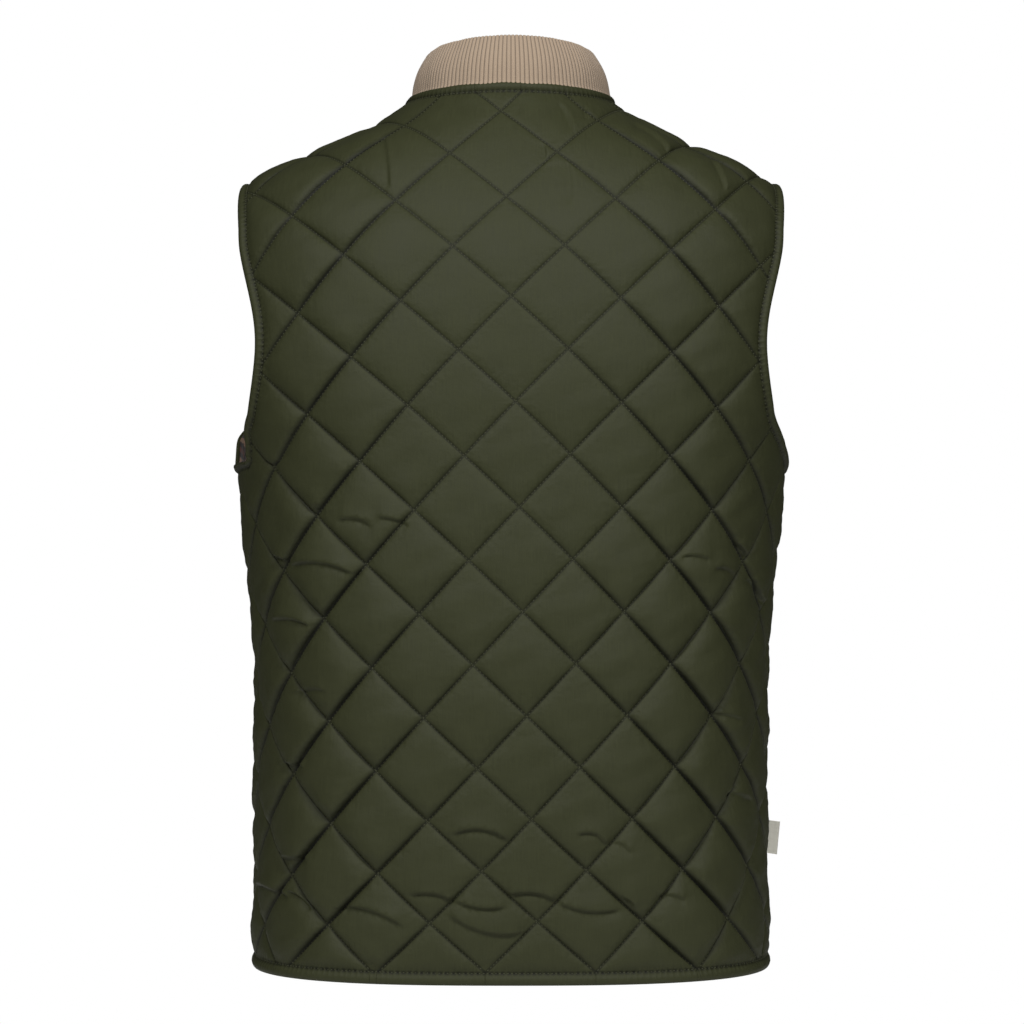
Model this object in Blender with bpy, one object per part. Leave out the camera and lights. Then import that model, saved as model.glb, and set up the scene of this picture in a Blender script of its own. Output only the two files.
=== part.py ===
"""A reversible quilted vest, filled out as if worn: padded outer panels, a quilted lining,
a rib-knit stand collar, a front zip with a swinging pull tab, and a folded side label.

Metres, +Z up. The origin lies midway between the two neck points of the shoulder seams,
where the wearer carries the vest. +Y points to the wearer's front, +X to the wearer's right.
"""

import math
from collections import namedtuple

import bmesh
import bpy
from mathutils import Matrix, Vector

# Walls and seams
OUTER_WALL = 0.004
LINING_WALL = 0.0012
LAYER_GAP = 0.0003
SEAM_GAP = 0.0003

# Rib-knit collar
COLLAR_WALL = 0.0035
COLLAR_HALF_WIDTH = 0.0625
COLLAR_BACK_Y, COLLAR_SIDE_Y, COLLAR_FRONT_Y = -0.064, 0.001, 0.058
COLLAR_BACK_Z, COLLAR_SIDE_Z, COLLAR_FRONT_Z = 0.034, 0.028, -0.042

# Front zip
ZIP_OPENING_HALF = 0.010
CHAIN_HALF_WIDTH = 0.003
CHAIN_THICKNESS = 0.003
TAPE_THICKNESS = 0.0012
ZIP_MID_DEPTH = OUTER_WALL / 2
ZIP_BOX_LENGTH = 0.008
ZIP_END_MARGIN = 0.003
SLIDER_LENGTH = 0.011
SLIDER_HALF_WIDTH = 0.0045
SLIDER_PLATE = 0.0012
SLIDER_SLOT_HALF = 0.0012
SLIDER_WEB_HALF = 0.0012
SLIDER_BELOW_NECK = 0.014

# Bail on the slider and the pull tab that hangs from it
BAIL_HALF_LENGTH = 0.0034
BAIL_BAR = 0.0012
BAIL_INNER_HEIGHT = 0.0026
BAIL_WIDTH = 0.0016
BAIL_ROOT = 0.0005
TAB_THICKNESS = 0.0014
TAB_HALF_WIDTH = 0.0035
TAB_LENGTH = 0.026
TAB_CROSSBAR = 0.0014
TAB_WINDOW_END = 0.0046
TAB_WINDOW_HALF_WIDTH = 0.0018
TAB_CORNER = 0.0012

# Folded label caught in the right side seam
LABEL_TOP_Z = -0.550
LABEL_THICKNESS = 0.001
LABEL_TOP_WIDTH, LABEL_BOTTOM_WIDTH = 0.0092, 0.0069
LABEL_HEIGHT = 0.0248
LABEL_DROOP = 0.0016

# Facets of the faceted cloth
BODY_ROWS, ARMHOLE_ROWS, YOKE_ROWS = 7, 8, 4
BACK_COLUMNS, FRONT_COLUMNS = 20, 10
COLLAR_ROWS = 3
ZIP_ROWS = 16

# One ring of the worn form per row: half width at the sides, depth at the centre back,
# the sides and the centre front, height at those three places, how far the ring fills out
# towards its corners, and the half width of the back and front panels there. Between the
# underarm and the shoulder tip the panels stop at the armhole, short of the ring.
Ring = namedtuple(
    "Ring",
    "name half_width back_y side_y front_y back_z side_z front_z fullness back_edge front_edge",
)
RINGS = [
    Ring("hem", 0.194, -0.152, 0.000, 0.122, -0.657, -0.653, -0.650, 0.09, 0.194, 0.194),
    Ring("hip", 0.1935, -0.158, 0.000, 0.125, -0.560, -0.560, -0.560, 0.08, 0.1935, 0.1935),
    Ring("waist", 0.193, -0.160, 0.000, 0.126, -0.455, -0.455, -0.455, 0.07, 0.193, 0.193),
    Ring("ribs", 0.199, -0.157, 0.000, 0.127, -0.370, -0.370, -0.370, 0.06, 0.199, 0.199),
    Ring("underarm", 0.209, -0.152, 0.000, 0.128, -0.283, -0.283, -0.283, 0.05, 0.209, 0.209),
    Ring("underarm_turn", 0.2135, -0.151, 0.000, 0.127, -0.264, -0.266, -0.268, 0.045, 0.1995, 0.208),
    Ring("low_armhole", 0.221, -0.150, 0.000, 0.125, -0.240, -0.246, -0.250, 0.04, 0.1885, 0.193),
    Ring("mid_armhole", 0.232, -0.146, 0.000, 0.117, -0.190, -0.196, -0.205, 0.03, 0.1832, 0.172),
    Ring("high_armhole", 0.230, -0.133, 0.001, 0.103, -0.115, -0.115, -0.155, 0.02, 0.1995, 0.188),
    Ring("shoulder_tip", 0.204, -0.112, 0.004, 0.089, -0.064, -0.072, -0.120, 0.01, 0.204, 0.204),
    Ring("mid_shoulder", 0.145, -0.095, 0.003, 0.081, -0.034, -0.046, -0.102, 0.0, 0.145, 0.145),
    Ring("inner_shoulder", 0.102, -0.083, 0.002, 0.075, -0.018, -0.026, -0.090, 0.0, 0.102, 0.102),
    Ring("neck", 0.075, -0.074, 0.002, 0.070, -0.006, 0.000, -0.080, 0.0, 0.075, 0.075),
]
# The back panel's left armhole sits this much further in at its turn, so the lining shows there.
LEFT_ARMHOLE_SET_IN = 0.006
SET_IN_REACH = 0.030

# Base colour, roughness and metallic value of each cloth and metal
FINISHES = {
    "quilted_olive": ((0.048, 0.051, 0.028), 0.42, 0.0),
    "checked_lining": ((0.090, 0.052, 0.030), 0.85, 0.0),
    "tan_rib": ((0.413, 0.305, 0.209), 0.90, 0.0),
    "zip_tape": ((0.020, 0.021, 0.014), 0.80, 0.0),
    "dark_metal": ((0.120, 0.110, 0.095), 0.35, 1.0),
    "cream_label": ((0.670, 0.640, 0.520), 0.85, 0.0),
}

SIDES = (("left", -1), ("right", 1))
DIFFERENCE_STEP = 1e-4
# Small plates are filled at this many times their size, clear of the fill's own tolerance
PLATE_SCALE = 1000.0


def ring_distance(low, high):
    """Mean length of cloth from one ring to the next, at the centre back and at the sides."""
    back = math.hypot(high.back_y - low.back_y, high.back_z - low.back_z)
    side = math.hypot(high.half_width - low.half_width, high.side_z - low.side_z)
    return (back + side) / 2


def ring_heights():
    """How far up the cloth each ring lies, from 0 at the hem."""
    heights = [0.0]
    for low, high in zip(RINGS, RINGS[1:]):
        heights.append(heights[-1] + ring_distance(low, high))
    return heights


HEIGHTS = ring_heights()
UP_TO = dict(zip((ring.name for ring in RINGS), HEIGHTS))


def monotone_slopes(values):
    """Slopes that carry a smooth curve through the values with no overshoot."""
    steps = [b - a for a, b in zip(HEIGHTS, HEIGHTS[1:])]
    rises = [(b - a) / step for a, b, step in zip(values, values[1:], steps)]
    slopes = [rises[0]]
    for before, after, left, right in zip(rises, rises[1:], steps, steps[1:]):
        if before * after <= 0:
            slopes.append(0.0)
        else:
            near, far = 2 * right + left, right + 2 * left
            slopes.append((near + far) / (near / before + far / after))
    return slopes + [rises[-1]]


COLUMNS = {}
for column in Ring._fields[1:]:
    column_values = [getattr(ring, column) for ring in RINGS]
    COLUMNS[column] = (column_values, monotone_slopes(column_values))


def size_at(column, up):
    """One column of the ring table, read smoothly at a height up the cloth."""
    values, slopes = COLUMNS[column]
    span = 0
    while span < len(HEIGHTS) - 2 and up > HEIGHTS[span + 1]:
        span += 1
    step = HEIGHTS[span + 1] - HEIGHTS[span]
    t = (up - HEIGHTS[span]) / step
    start = values[span] * (1 + 2 * t) * (1 - t) ** 2 + slopes[span] * step * t * (1 - t) ** 2
    end = values[span + 1] * t * t * (3 - 2 * t) + slopes[span + 1] * step * t * t * (t - 1)
    return start + end


def form_point(angle, up):
    """The outside of the worn form. Angle 0 is the centre back, +90 degrees the wearer's right."""
    across, along = math.sin(angle), math.cos(angle)
    end = "back" if along > 0 else "front"
    filled = 1 + size_at("fullness", up) * math.sin(2 * angle) ** 2
    side_y, side_z = size_at("side_y", up), size_at("side_z", up)
    x = size_at("half_width", up) * across * filled
    y = side_y + (size_at(end + "_y", up) - side_y) * abs(along) * filled
    z = side_z + (size_at(end + "_z", up) - side_z) * along**2
    return Vector((x, y, z))


def form_tangents(angle, up):
    """Unit vectors round the form and up it."""
    around = form_point(angle + DIFFERENCE_STEP, up) - form_point(angle - DIFFERENCE_STEP, up)
    low, high = max(up - DIFFERENCE_STEP, 0.0), min(up + DIFFERENCE_STEP, HEIGHTS[-1])
    rising = form_point(angle, high) - form_point(angle, low)
    return around.normalized(), rising.normalized()


def form_normal(angle, up):
    around, rising = form_tangents(angle, up)
    return around.cross(rising).normalized()


def cloth_point(angle, up, depth):
    """A point this deep below the outside of the form."""
    return form_point(angle, up) - form_normal(angle, up) * depth


def seam_angle(up):
    """Where a panel stops at the side or shoulder seam, half the seam's gap short of it."""
    reach = form_point(math.pi / 2, up) - form_point(math.pi / 2 - DIFFERENCE_STEP, up)
    return math.pi / 2 - SEAM_GAP / 2 * DIFFERENCE_STEP / reach.length


def panel_limit(edge_column, up, set_in=0.0):
    """The angle from the panel's own centre at which it ends, at a seam or at the armhole."""
    seam = seam_angle(up)
    if not UP_TO["underarm"] < up < UP_TO["shoulder_tip"]:
        return seam
    edge = size_at(edge_column, up) - set_in
    return min(seam, math.asin(min(1.0, edge / size_at("half_width", up))))


def left_set_in(up):
    """How far the left back armhole is set in, most at the armhole's turn."""
    away = abs(up - UP_TO["underarm_turn"]) / SET_IN_REACH
    return LEFT_ARMHOLE_SET_IN * math.cos(min(1.0, away) * math.pi / 2) ** 2


def back_angle(share, up):
    """Across the back panel, from -1 at its left edge to 1 at its right edge."""
    if share < 0:
        return share * panel_limit("back_edge", up, left_set_in(up))
    return share * panel_limit("back_edge", up)


def front_angle(side, share, up):
    """Across a front panel, from 0 at the zip to 1 at its side."""
    start = math.asin(ZIP_OPENING_HALF / size_at("half_width", up))
    return side * (math.pi - start - share * (panel_limit("front_edge", up) - start))


def strip_angle(x, up):
    """The place on the centre front at a small distance x from the middle."""
    return math.pi - math.asin(x / size_at("half_width", up))


def front_up(start, distance):
    """The height up the cloth at this distance along the centre front, downwards if negative."""
    step = math.copysign(DIFFERENCE_STEP, distance)
    up, gone = start, 0.0
    while gone < abs(distance):
        gone += (form_point(math.pi, up + step) - form_point(math.pi, up)).length
        up += step
    return up


def panel_rows():
    """Heights of a panel's rows: even on the body and yoke, close together at the armhole's ends."""
    underarm, tip, neck = UP_TO["underarm"], UP_TO["shoulder_tip"], UP_TO["neck"]
    rows = [underarm * i / BODY_ROWS for i in range(BODY_ROWS)]
    for i in range(ARMHOLE_ROWS):
        rows.append(underarm + (tip - underarm) * (1 - math.cos(math.pi * i / ARMHOLE_ROWS)) / 2)
    return rows + [tip + (neck - tip) * i / YOKE_ROWS for i in range(YOKE_ROWS + 1)]


def finish_material(finish):
    material = bpy.data.materials.get(finish)
    if material is None:
        colour, roughness, metallic = FINISHES[finish]
        material = bpy.data.materials.new(finish)
        material.use_nodes = True
        shader = material.node_tree.nodes["Principled BSDF"]
        shader.inputs["Base Color"].default_value = (*colour, 1.0)
        shader.inputs["Roughness"].default_value = roughness
        shader.inputs["Metallic"].default_value = metallic
    return material


def add_piece(name, mesh, finish):
    """A named piece of the vest, in the vest's collection, under the wearer's empty."""
    mesh.materials.clear()
    mesh.materials.append(finish_material(finish))
    piece = bpy.data.objects.new(name, mesh)
    vest.objects.link(piece)
    piece.parent = wearer
    return piece


def wall(name, finish, columns, rows, outside, inside):
    """A closed wall: a grid laid on outside(share, row) and extruded through to inside(share, row)."""
    grid = bmesh.new()
    bmesh.ops.create_grid(grid, x_segments=columns, y_segments=rows, size=1.0)
    share_of = grid.verts.layers.float.new("share")
    row_of = grid.verts.layers.float.new("row")
    for vert in grid.verts:
        vert[share_of] = (vert.co.x + 1) / 2
        vert[row_of] = (vert.co.y + 1) / 2
    through = bmesh.ops.extrude_face_region(grid, geom=grid.faces[:])
    inner = {item for item in through["geom"] if isinstance(item, bmesh.types.BMVert)}
    for vert in grid.verts:
        lay = inside if vert in inner else outside
        vert.co = lay(vert[share_of], round(vert[row_of] * rows))
    bmesh.ops.recalc_face_normals(grid, faces=grid.faces[:])
    mesh = bpy.data.meshes.new(name)
    grid.to_mesh(mesh)
    grid.free()
    mesh.shade_smooth()
    mesh.set_sharp_from_angle(angle=math.radians(40))
    return add_piece(name, mesh, finish)


def panel(name, finish, columns, angle_at, top_depth, thickness):
    """One cloth panel, between two depths below the outside of the form."""
    rows = panel_rows()

    def at_depth(depth):
        return lambda share, row: cloth_point(angle_at(share, rows[row]), rows[row], depth)

    layers = at_depth(top_depth), at_depth(top_depth + thickness)
    return wall(name, finish, columns, len(rows) - 1, *layers)


def add_panels():
    """Back and fronts, each cut once in the outer cloth and once in the lining."""
    layers = (
        ("", "quilted_olive", 0.0, OUTER_WALL),
        ("lining_", "checked_lining", OUTER_WALL + LAYER_GAP, LINING_WALL),
    )
    for prefix, finish, depth, thickness in layers:
        panel(
            prefix + "back", finish, BACK_COLUMNS,
            lambda share, up: back_angle(2 * share - 1, up), depth, thickness,
        )
        for side_name, side in SIDES:
            panel(
                prefix + "front_" + side_name, finish, FRONT_COLUMNS,
                lambda share, up, side=side: front_angle(side, share, up), depth, thickness,
            )


def collar_top(angle):
    """The collar's free edge."""
    across, along = math.sin(angle), math.cos(angle)
    end_y, end_z = (COLLAR_BACK_Y, COLLAR_BACK_Z) if along > 0 else (COLLAR_FRONT_Y, COLLAR_FRONT_Z)
    y = COLLAR_SIDE_Y + (end_y - COLLAR_SIDE_Y) * abs(along)
    z = COLLAR_SIDE_Z + (end_z - COLLAR_SIDE_Z) * along**2
    return Vector((COLLAR_HALF_WIDTH * across, y, z))


def collar_angle(share):
    """Round the collar, with its facets on those of the panels that it stands on."""
    neck, turn = UP_TO["neck"], 4 * share - 2
    if abs(turn) <= 1:
        return back_angle(turn, neck)
    return front_angle(math.copysign(1, turn), 2 - abs(turn), neck)


def add_collar():
    """A folded rib band that stands on the neck edge and stays open at the centre front."""
    neck = UP_TO["neck"]

    def layer(depth):
        def at(share, row):
            angle = collar_angle(share)
            rising = form_tangents(angle, neck)[1]
            foot = cloth_point(angle, neck, SEAM_GAP + depth) + rising * SEAM_GAP
            top = collar_top(angle)
            inward = Vector((-top.x, COLLAR_SIDE_Y - top.y, 0.0)).normalized()
            return foot.lerp(top + inward * depth, row / COLLAR_ROWS)

        return at

    columns = BACK_COLUMNS + 2 * FRONT_COLUMNS
    wall("collar", "tan_rib", columns, COLLAR_ROWS, layer(0.0), layer(COLLAR_WALL))


def zip_strip(name, finish, low_x, high_x, low_up, high_up, thickness):
    """A strip down the centre front, half its thickness either side of the zip's middle."""

    def at_depth(depth):
        def at(share, row):
            up = low_up + (high_up - low_up) * row / ZIP_ROWS
            return cloth_point(strip_angle(low_x + (high_x - low_x) * share, up), up, depth)

        return at

    top, bottom = ZIP_MID_DEPTH - thickness / 2, ZIP_MID_DEPTH + thickness / 2
    wall(name, finish, 1, ZIP_ROWS, at_depth(top), at_depth(bottom))


def add_zip():
    """Tapes sewn to the fronts, the closed chain between them, and the box at its foot."""
    low, neck = front_up(0.0, ZIP_END_MARGIN), front_up(UP_TO["neck"], -SEAM_GAP)
    inner, outer = CHAIN_HALF_WIDTH + SEAM_GAP, ZIP_OPENING_HALF - SEAM_GAP
    for side_name, side in SIDES:
        edges = sorted((side * inner, side * outer))
        zip_strip("zip_tape_" + side_name, "zip_tape", *edges, low, neck, TAPE_THICKNESS)
    box_top = front_up(low, ZIP_BOX_LENGTH)
    chain_foot = front_up(box_top, SEAM_GAP)
    chain_top = front_up(slider_height(), -SLIDER_LENGTH / 2 - SEAM_GAP)
    half = CHAIN_HALF_WIDTH
    zip_strip("zip_box", "dark_metal", -half, half, low, box_top, CHAIN_THICKNESS)
    zip_strip("zip_chain", "dark_metal", -half, half, chain_foot, chain_top, CHAIN_THICKNESS)


def slider_height():
    return front_up(UP_TO["neck"], -SLIDER_BELOW_NECK)


def zip_lean():
    """How far the zip leans back at the slider, as a turn about X."""
    normal = form_normal(math.pi, slider_height())
    return math.atan2(normal.z, normal.y)


def flat_mesh(name, outlines, thickness):
    """A flat plate with its holes, as a mesh, centred on its own plane."""
    plate = bmesh.new()
    rims = []
    for outline in outlines:
        corners = [plate.verts.new((x, y, -thickness / 2)) for x, y in outline]
        rims += [plate.edges.new(pair) for pair in zip(corners, corners[1:] + corners[:1])]
    bmesh.ops.scale(plate, vec=(PLATE_SCALE,) * 3, verts=plate.verts[:])
    bmesh.ops.triangle_fill(plate, use_beauty=True, edges=rims)
    through = bmesh.ops.extrude_face_region(plate, geom=plate.faces[:])
    upper = [item for item in through["geom"] if isinstance(item, bmesh.types.BMVert)]
    bmesh.ops.translate(plate, vec=(0, 0, thickness * PLATE_SCALE), verts=upper)
    bmesh.ops.scale(plate, vec=(1 / PLATE_SCALE,) * 3, verts=plate.verts[:])
    bmesh.ops.recalc_face_normals(plate, faces=plate.faces[:])
    mesh = bpy.data.meshes.new(name)
    plate.to_mesh(mesh)
    plate.free()
    return mesh


def slider_outline():
    """Two plates and the web between them, seen along the zip."""
    wide, web = SLIDER_HALF_WIDTH, SLIDER_WEB_HALF
    slot, face = SLIDER_SLOT_HALF, SLIDER_SLOT_HALF + SLIDER_PLATE
    quarter = [(wide, face), (wide, slot), (web, slot)]
    lower = [(x, -y) for x, y in reversed(quarter)]
    right = quarter + lower
    return right + [(-x, y) for x, y in reversed(right)]


def bail_outline():
    """The bail seen from the side: distance out from the slider's middle, then along the zip."""
    foot = SLIDER_SLOT_HALF + SLIDER_PLATE - BAIL_ROOT
    inner = foot + BAIL_ROOT + BAIL_INNER_HEIGHT
    outer = inner + BAIL_BAR
    long, short = BAIL_HALF_LENGTH, BAIL_HALF_LENGTH - BAIL_BAR
    return [
        (foot, -long), (outer - BAIL_BAR, -long), (outer, -short), (outer, short),
        (outer - BAIL_BAR, long), (foot, long), (foot, short), (inner, short),
        (inner, -short), (foot, -short),
    ]


def add_slider():
    """The slider's plates, with the bail joined on their outer face."""
    plates = flat_mesh("slider_plates", [slider_outline()], SLIDER_LENGTH)
    slider = add_piece("zip_slider", plates, "dark_metal")
    slider.location = cloth_point(math.pi, slider_height(), ZIP_MID_DEPTH)
    slider.rotation_euler = (zip_lean(), 0.0, 0.0)
    bail_mesh = flat_mesh("slider_bail", [bail_outline()], BAIL_WIDTH)
    bail_mesh.transform(Matrix(((0, 0, 1, 0), (1, 0, 0, 0), (0, 1, 0, 0), (0, 0, 0, 1))))
    bail = bpy.data.objects.new("slider_bail", bail_mesh)
    helpers.objects.link(bail)
    bail.location, bail.rotation_euler = slider.location, slider.rotation_euler
    bail.parent = wearer
    bail.hide_render = True
    bail.display_type = "WIRE"
    join = slider.modifiers.new("bail", "BOOLEAN")
    join.operation = "UNION"
    join.object = bail


def add_pull_tab():
    """The tab hangs on its own crossbar, under the bail. Its origin is the crossbar's axis."""
    bar, wide, corner = TAB_CROSSBAR / 2, TAB_HALF_WIDTH, TAB_CORNER
    window, end = TAB_WINDOW_HALF_WIDTH, TAB_LENGTH
    outline = [
        (wide, -bar), (wide, end - corner), (wide - corner, end),
        (corner - wide, end), (-wide, end - corner), (-wide, -bar),
    ]
    opening = [(-window, bar), (-window, TAB_WINDOW_END), (window, TAB_WINDOW_END), (window, bar)]
    tab = add_piece("zip_pull", flat_mesh("pull_tab", [outline, opening], TAB_THICKNESS), "dark_metal")
    rise = SLIDER_SLOT_HALF + SLIDER_PLATE + BAIL_INNER_HEIGHT / 2
    tab.location = cloth_point(math.pi, slider_height(), ZIP_MID_DEPTH - rise)
    tab.rotation_euler = (zip_lean() - math.pi / 2, 0.0, 0.0)


def add_label():
    """A folded tab of ribbon that stands out of the right side seam."""
    outline = [
        (0.0, 0.0), (LABEL_TOP_WIDTH, -LABEL_DROOP),
        (LABEL_BOTTOM_WIDTH, -LABEL_HEIGHT - LABEL_DROOP), (0.0, -LABEL_HEIGHT),
    ]
    label = add_piece("side_label", flat_mesh("label", [outline], LABEL_THICKNESS), "cream_label")
    widest = max(ring.half_width for ring in RINGS if ring.name in ("hip", "waist"))
    label.location = (widest + SEAM_GAP, 0.0, LABEL_TOP_Z)
    label.rotation_euler = (math.pi / 2, 0.0, 0.0)


for leftover in list(bpy.data.objects):
    bpy.data.objects.remove(leftover)
vest = bpy.data.collections.new("reversible_vest")
helpers = bpy.data.collections.new("cutters")
for collection in (vest, helpers):
    bpy.context.scene.collection.children.link(collection)
wearer = bpy.data.objects.new("wearer_shoulders", None)
vest.objects.link(wearer)

add_panels()
add_collar()
add_zip()
add_slider()
add_pull_tab()
add_label()
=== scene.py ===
import math

import bmesh
import bpy
import numpy as np
from mathutils import Matrix, Vector
from mathutils.bvhtree import BVHTree


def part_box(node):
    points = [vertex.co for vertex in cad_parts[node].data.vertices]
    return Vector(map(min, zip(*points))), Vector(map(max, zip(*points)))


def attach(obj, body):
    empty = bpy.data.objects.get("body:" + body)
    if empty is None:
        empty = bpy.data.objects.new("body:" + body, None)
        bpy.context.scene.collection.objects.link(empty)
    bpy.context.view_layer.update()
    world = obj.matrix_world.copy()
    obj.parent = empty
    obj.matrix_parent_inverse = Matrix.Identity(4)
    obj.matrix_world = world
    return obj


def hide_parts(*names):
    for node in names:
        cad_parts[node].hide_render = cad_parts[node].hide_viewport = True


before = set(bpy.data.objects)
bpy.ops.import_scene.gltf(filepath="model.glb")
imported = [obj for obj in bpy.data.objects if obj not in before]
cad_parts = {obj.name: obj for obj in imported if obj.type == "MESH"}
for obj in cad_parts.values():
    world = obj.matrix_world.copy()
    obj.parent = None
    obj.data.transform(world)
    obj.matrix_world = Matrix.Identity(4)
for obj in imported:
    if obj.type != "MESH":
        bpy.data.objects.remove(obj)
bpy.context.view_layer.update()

# camera: level, square to the back, 3 m away
view = dict(place=(0.00075, -3.0, -0.318), frameWidth=0.7726, sensor=36.0)
cameraData = bpy.data.cameras.new("camera")
cameraData.sensor_width = view["sensor"]
cameraData.lens = view["sensor"] * -view["place"][1] / view["frameWidth"]
camera = bpy.data.objects.new("camera", cameraData)
camera.location = view["place"]
camera.rotation_euler = (math.pi / 2, 0, 0)
bpy.context.scene.collection.objects.link(camera)
bpy.context.scene.camera = camera
print("camera set, lens", round(cameraData.lens, 1))

# the worn form, one row per ring of the body
ringColumns = ("halfWidth", "backY", "sideY", "frontY", "backZ", "sideZ", "frontZ", "fullness",
               "backEdge", "frontEdge")
rings = dict(
    hem=(0.194, -0.152, 0.000, 0.122, -0.657, -0.654, -0.650, 0.125, 0.194, 0.194),
    hip=(0.1935, -0.158, 0.000, 0.125, -0.560, -0.560, -0.560, 0.08, 0.1935, 0.1935),
    waist=(0.193, -0.160, 0.000, 0.126, -0.455, -0.455, -0.455, 0.07, 0.193, 0.193),
    ribs=(0.199, -0.157, 0.000, 0.127, -0.370, -0.370, -0.370, 0.06, 0.199, 0.199),
    underarm=(0.209, -0.152, 0.000, 0.128, -0.283, -0.283, -0.283, 0.05, 0.209, 0.209),
    underarmTurn=(0.2135, -0.151, 0.000, 0.127, -0.264, -0.266, -0.268, 0.045, 0.1995, 0.208),
    lowArmhole=(0.221, -0.150, 0.000, 0.125, -0.240, -0.246, -0.250, 0.04, 0.1885, 0.193),
    midArmhole=(0.232, -0.146, 0.000, 0.117, -0.190, -0.196, -0.205, 0.03, 0.1832, 0.172),
    highArmhole=(0.230, -0.133, 0.001, 0.103, -0.115, -0.115, -0.155, 0.02, 0.1995, 0.188),
    shoulderTip=(0.204, -0.112, 0.004, 0.089, -0.064, -0.072, -0.120, 0.01, 0.204, 0.204),
    midShoulder=(0.145, -0.095, 0.003, 0.081, -0.034, -0.046, -0.102, 0.0, 0.145, 0.145),
    innerShoulder=(0.102, -0.083, 0.002, 0.075, -0.018, -0.026, -0.090, 0.0, 0.102, 0.102),
    neck=(0.075, -0.074, 0.002, 0.070, -0.0005, -0.0045, -0.080, 0.0, 0.075, 0.075),
)
form = dict(fineStep=0.0005, soften=0.010, leftSetIn=0.0165, setInReach=0.036, zipHalf=0.010)


def ringHeights():
    rows = [dict(zip(ringColumns, row)) for row in rings.values()]
    heights = [0.0]
    for low, high in zip(rows, rows[1:]):
        back = math.hypot(high["backY"] - low["backY"], high["backZ"] - low["backZ"])
        side = math.hypot(high["halfWidth"] - low["halfWidth"], high["sideZ"] - low["sideZ"])
        heights.append(heights[-1] + (back + side) / 2)
    return np.array(heights)


ringUp = ringHeights()
upTo = dict(zip(rings, ringUp))
fineUp = np.linspace(0.0, ringUp[-1], int(ringUp[-1] / form["fineStep"]) + 1)


def throughRings(values):  # smooth curve through one column, with no overshoot
    steps, rises = np.diff(ringUp), np.diff(values) / np.diff(ringUp)
    slopes = np.zeros(len(values))
    slopes[0], slopes[-1] = rises[0], rises[-1]
    for i in range(1, len(values) - 1):
        if rises[i - 1] * rises[i] > 0:
            near, far = 2 * steps[i] + steps[i - 1], steps[i] + 2 * steps[i - 1]
            slopes[i] = (near + far) / (near / rises[i - 1] + far / rises[i])
    span = np.clip(np.searchsorted(ringUp, fineUp, side="right") - 1, 0, len(steps) - 1)
    t = (fineUp - ringUp[span]) / steps[span]
    start = values[span] * (1 + 2 * t) * (1 - t) ** 2 + slopes[span] * steps[span] * t * (1 - t) ** 2
    end = values[span + 1] * t * t * (3 - 2 * t) + slopes[span + 1] * steps[span] * t * t * (t - 1)
    return start + end


def softened(line):  # rounds off the knots of a column
    reach = int(3 * form["soften"] / form["fineStep"])
    kernel = np.exp(-0.5 * (np.arange(-reach, reach + 1) * form["fineStep"] / form["soften"]) ** 2)
    before, after = 2 * line[0] - line[reach:0:-1], 2 * line[-1] - line[-2:-reach - 2:-1]
    return np.convolve(np.concatenate([before, line, after]), kernel / kernel.sum(), "valid")


plainColumn = {}
for column, name in enumerate(ringColumns):
    plainColumn[name] = throughRings(np.array([row[column] for row in rings.values()]))
softColumn = {name: softened(line) for name, line in plainColumn.items()}


def sizeAt(name, up):
    return np.interp(up, fineUp, softColumn[name])


# outside of the worn form: angle 0 is the centre back, +90 degrees the wearer's right
def formPoint(angle, up):
    across, along = np.sin(angle), np.cos(angle)
    isBack = along > 0
    filled = 1 + sizeAt("fullness", up) * np.sin(2 * angle) ** 2
    sideY, sideZ = sizeAt("sideY", up), sizeAt("sideZ", up)
    endY = np.where(isBack, sizeAt("backY", up), sizeAt("frontY", up))
    endZ = np.where(isBack, sizeAt("backZ", up), sizeAt("frontZ", up))
    x = sizeAt("halfWidth", up) * across * filled
    y = sideY + (endY - sideY) * np.abs(along) * filled
    z = sideZ + (endZ - sideZ) * along**2
    return np.stack([x, y, z], axis=-1)


def unit(vectors):
    return vectors / np.maximum(np.linalg.norm(vectors, axis=-1, keepdims=True), 1e-12)


def formFrame(angle, up, step=0.002):  # point, outward normal, and direction up the cloth
    low, high = np.maximum(up - step, 0.0), np.minimum(up + step, ringUp[-1])
    around = formPoint(angle + step * 3, up) - formPoint(angle - step * 3, up)
    rising = unit(formPoint(angle, high) - formPoint(angle, low))
    return formPoint(angle, up), unit(np.cross(around, rising)), rising


def edgeLimit(edge, setIn):  # angle at which a panel stops, by height
    away = np.minimum(np.abs(fineUp - upTo["underarm"]) / form["setInReach"], 1.0)
    ratio = (plainColumn[edge] - setIn * np.cos(away * np.pi / 2) ** 2) / plainColumn["halfWidth"]
    step = form["fineStep"]
    inArmhole = (fineUp > upTo["underarm"] + step) & (fineUp < upTo["shoulderTip"] - step)
    return np.where(inArmhole, np.arcsin(np.minimum(ratio, 1.0)), np.pi / 2)


backLimitLeft = edgeLimit("backEdge", form["leftSetIn"])
backLimitRight = edgeLimit("backEdge", 0.0)
frontLimit = edgeLimit("frontEdge", 0.0)


def backAngle(share, up):  # share 0 at the left edge, 1 at the right edge
    turn = 2 * share - 1
    limit = np.where(turn < 0, np.interp(up, fineUp, backLimitLeft), np.interp(up, fineUp, backLimitRight))
    return turn * limit


def frontAngle(side):  # share 0 at the zip, 1 at the side
    def angleAt(share, up):
        start = np.arcsin(form["zipHalf"] / np.interp(up, fineUp, plainColumn["halfWidth"]))
        return side * (np.pi - start - share * (np.interp(up, fineUp, frontLimit) - start))
    return angleAt


# flat cutting pattern of each panel
pattern = dict(passes=30, columns=64, bodyRows=44, armholeRows=40, yokeRows=20, refine=6, raster=0.003,
               edgeStep=0.001)


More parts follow.
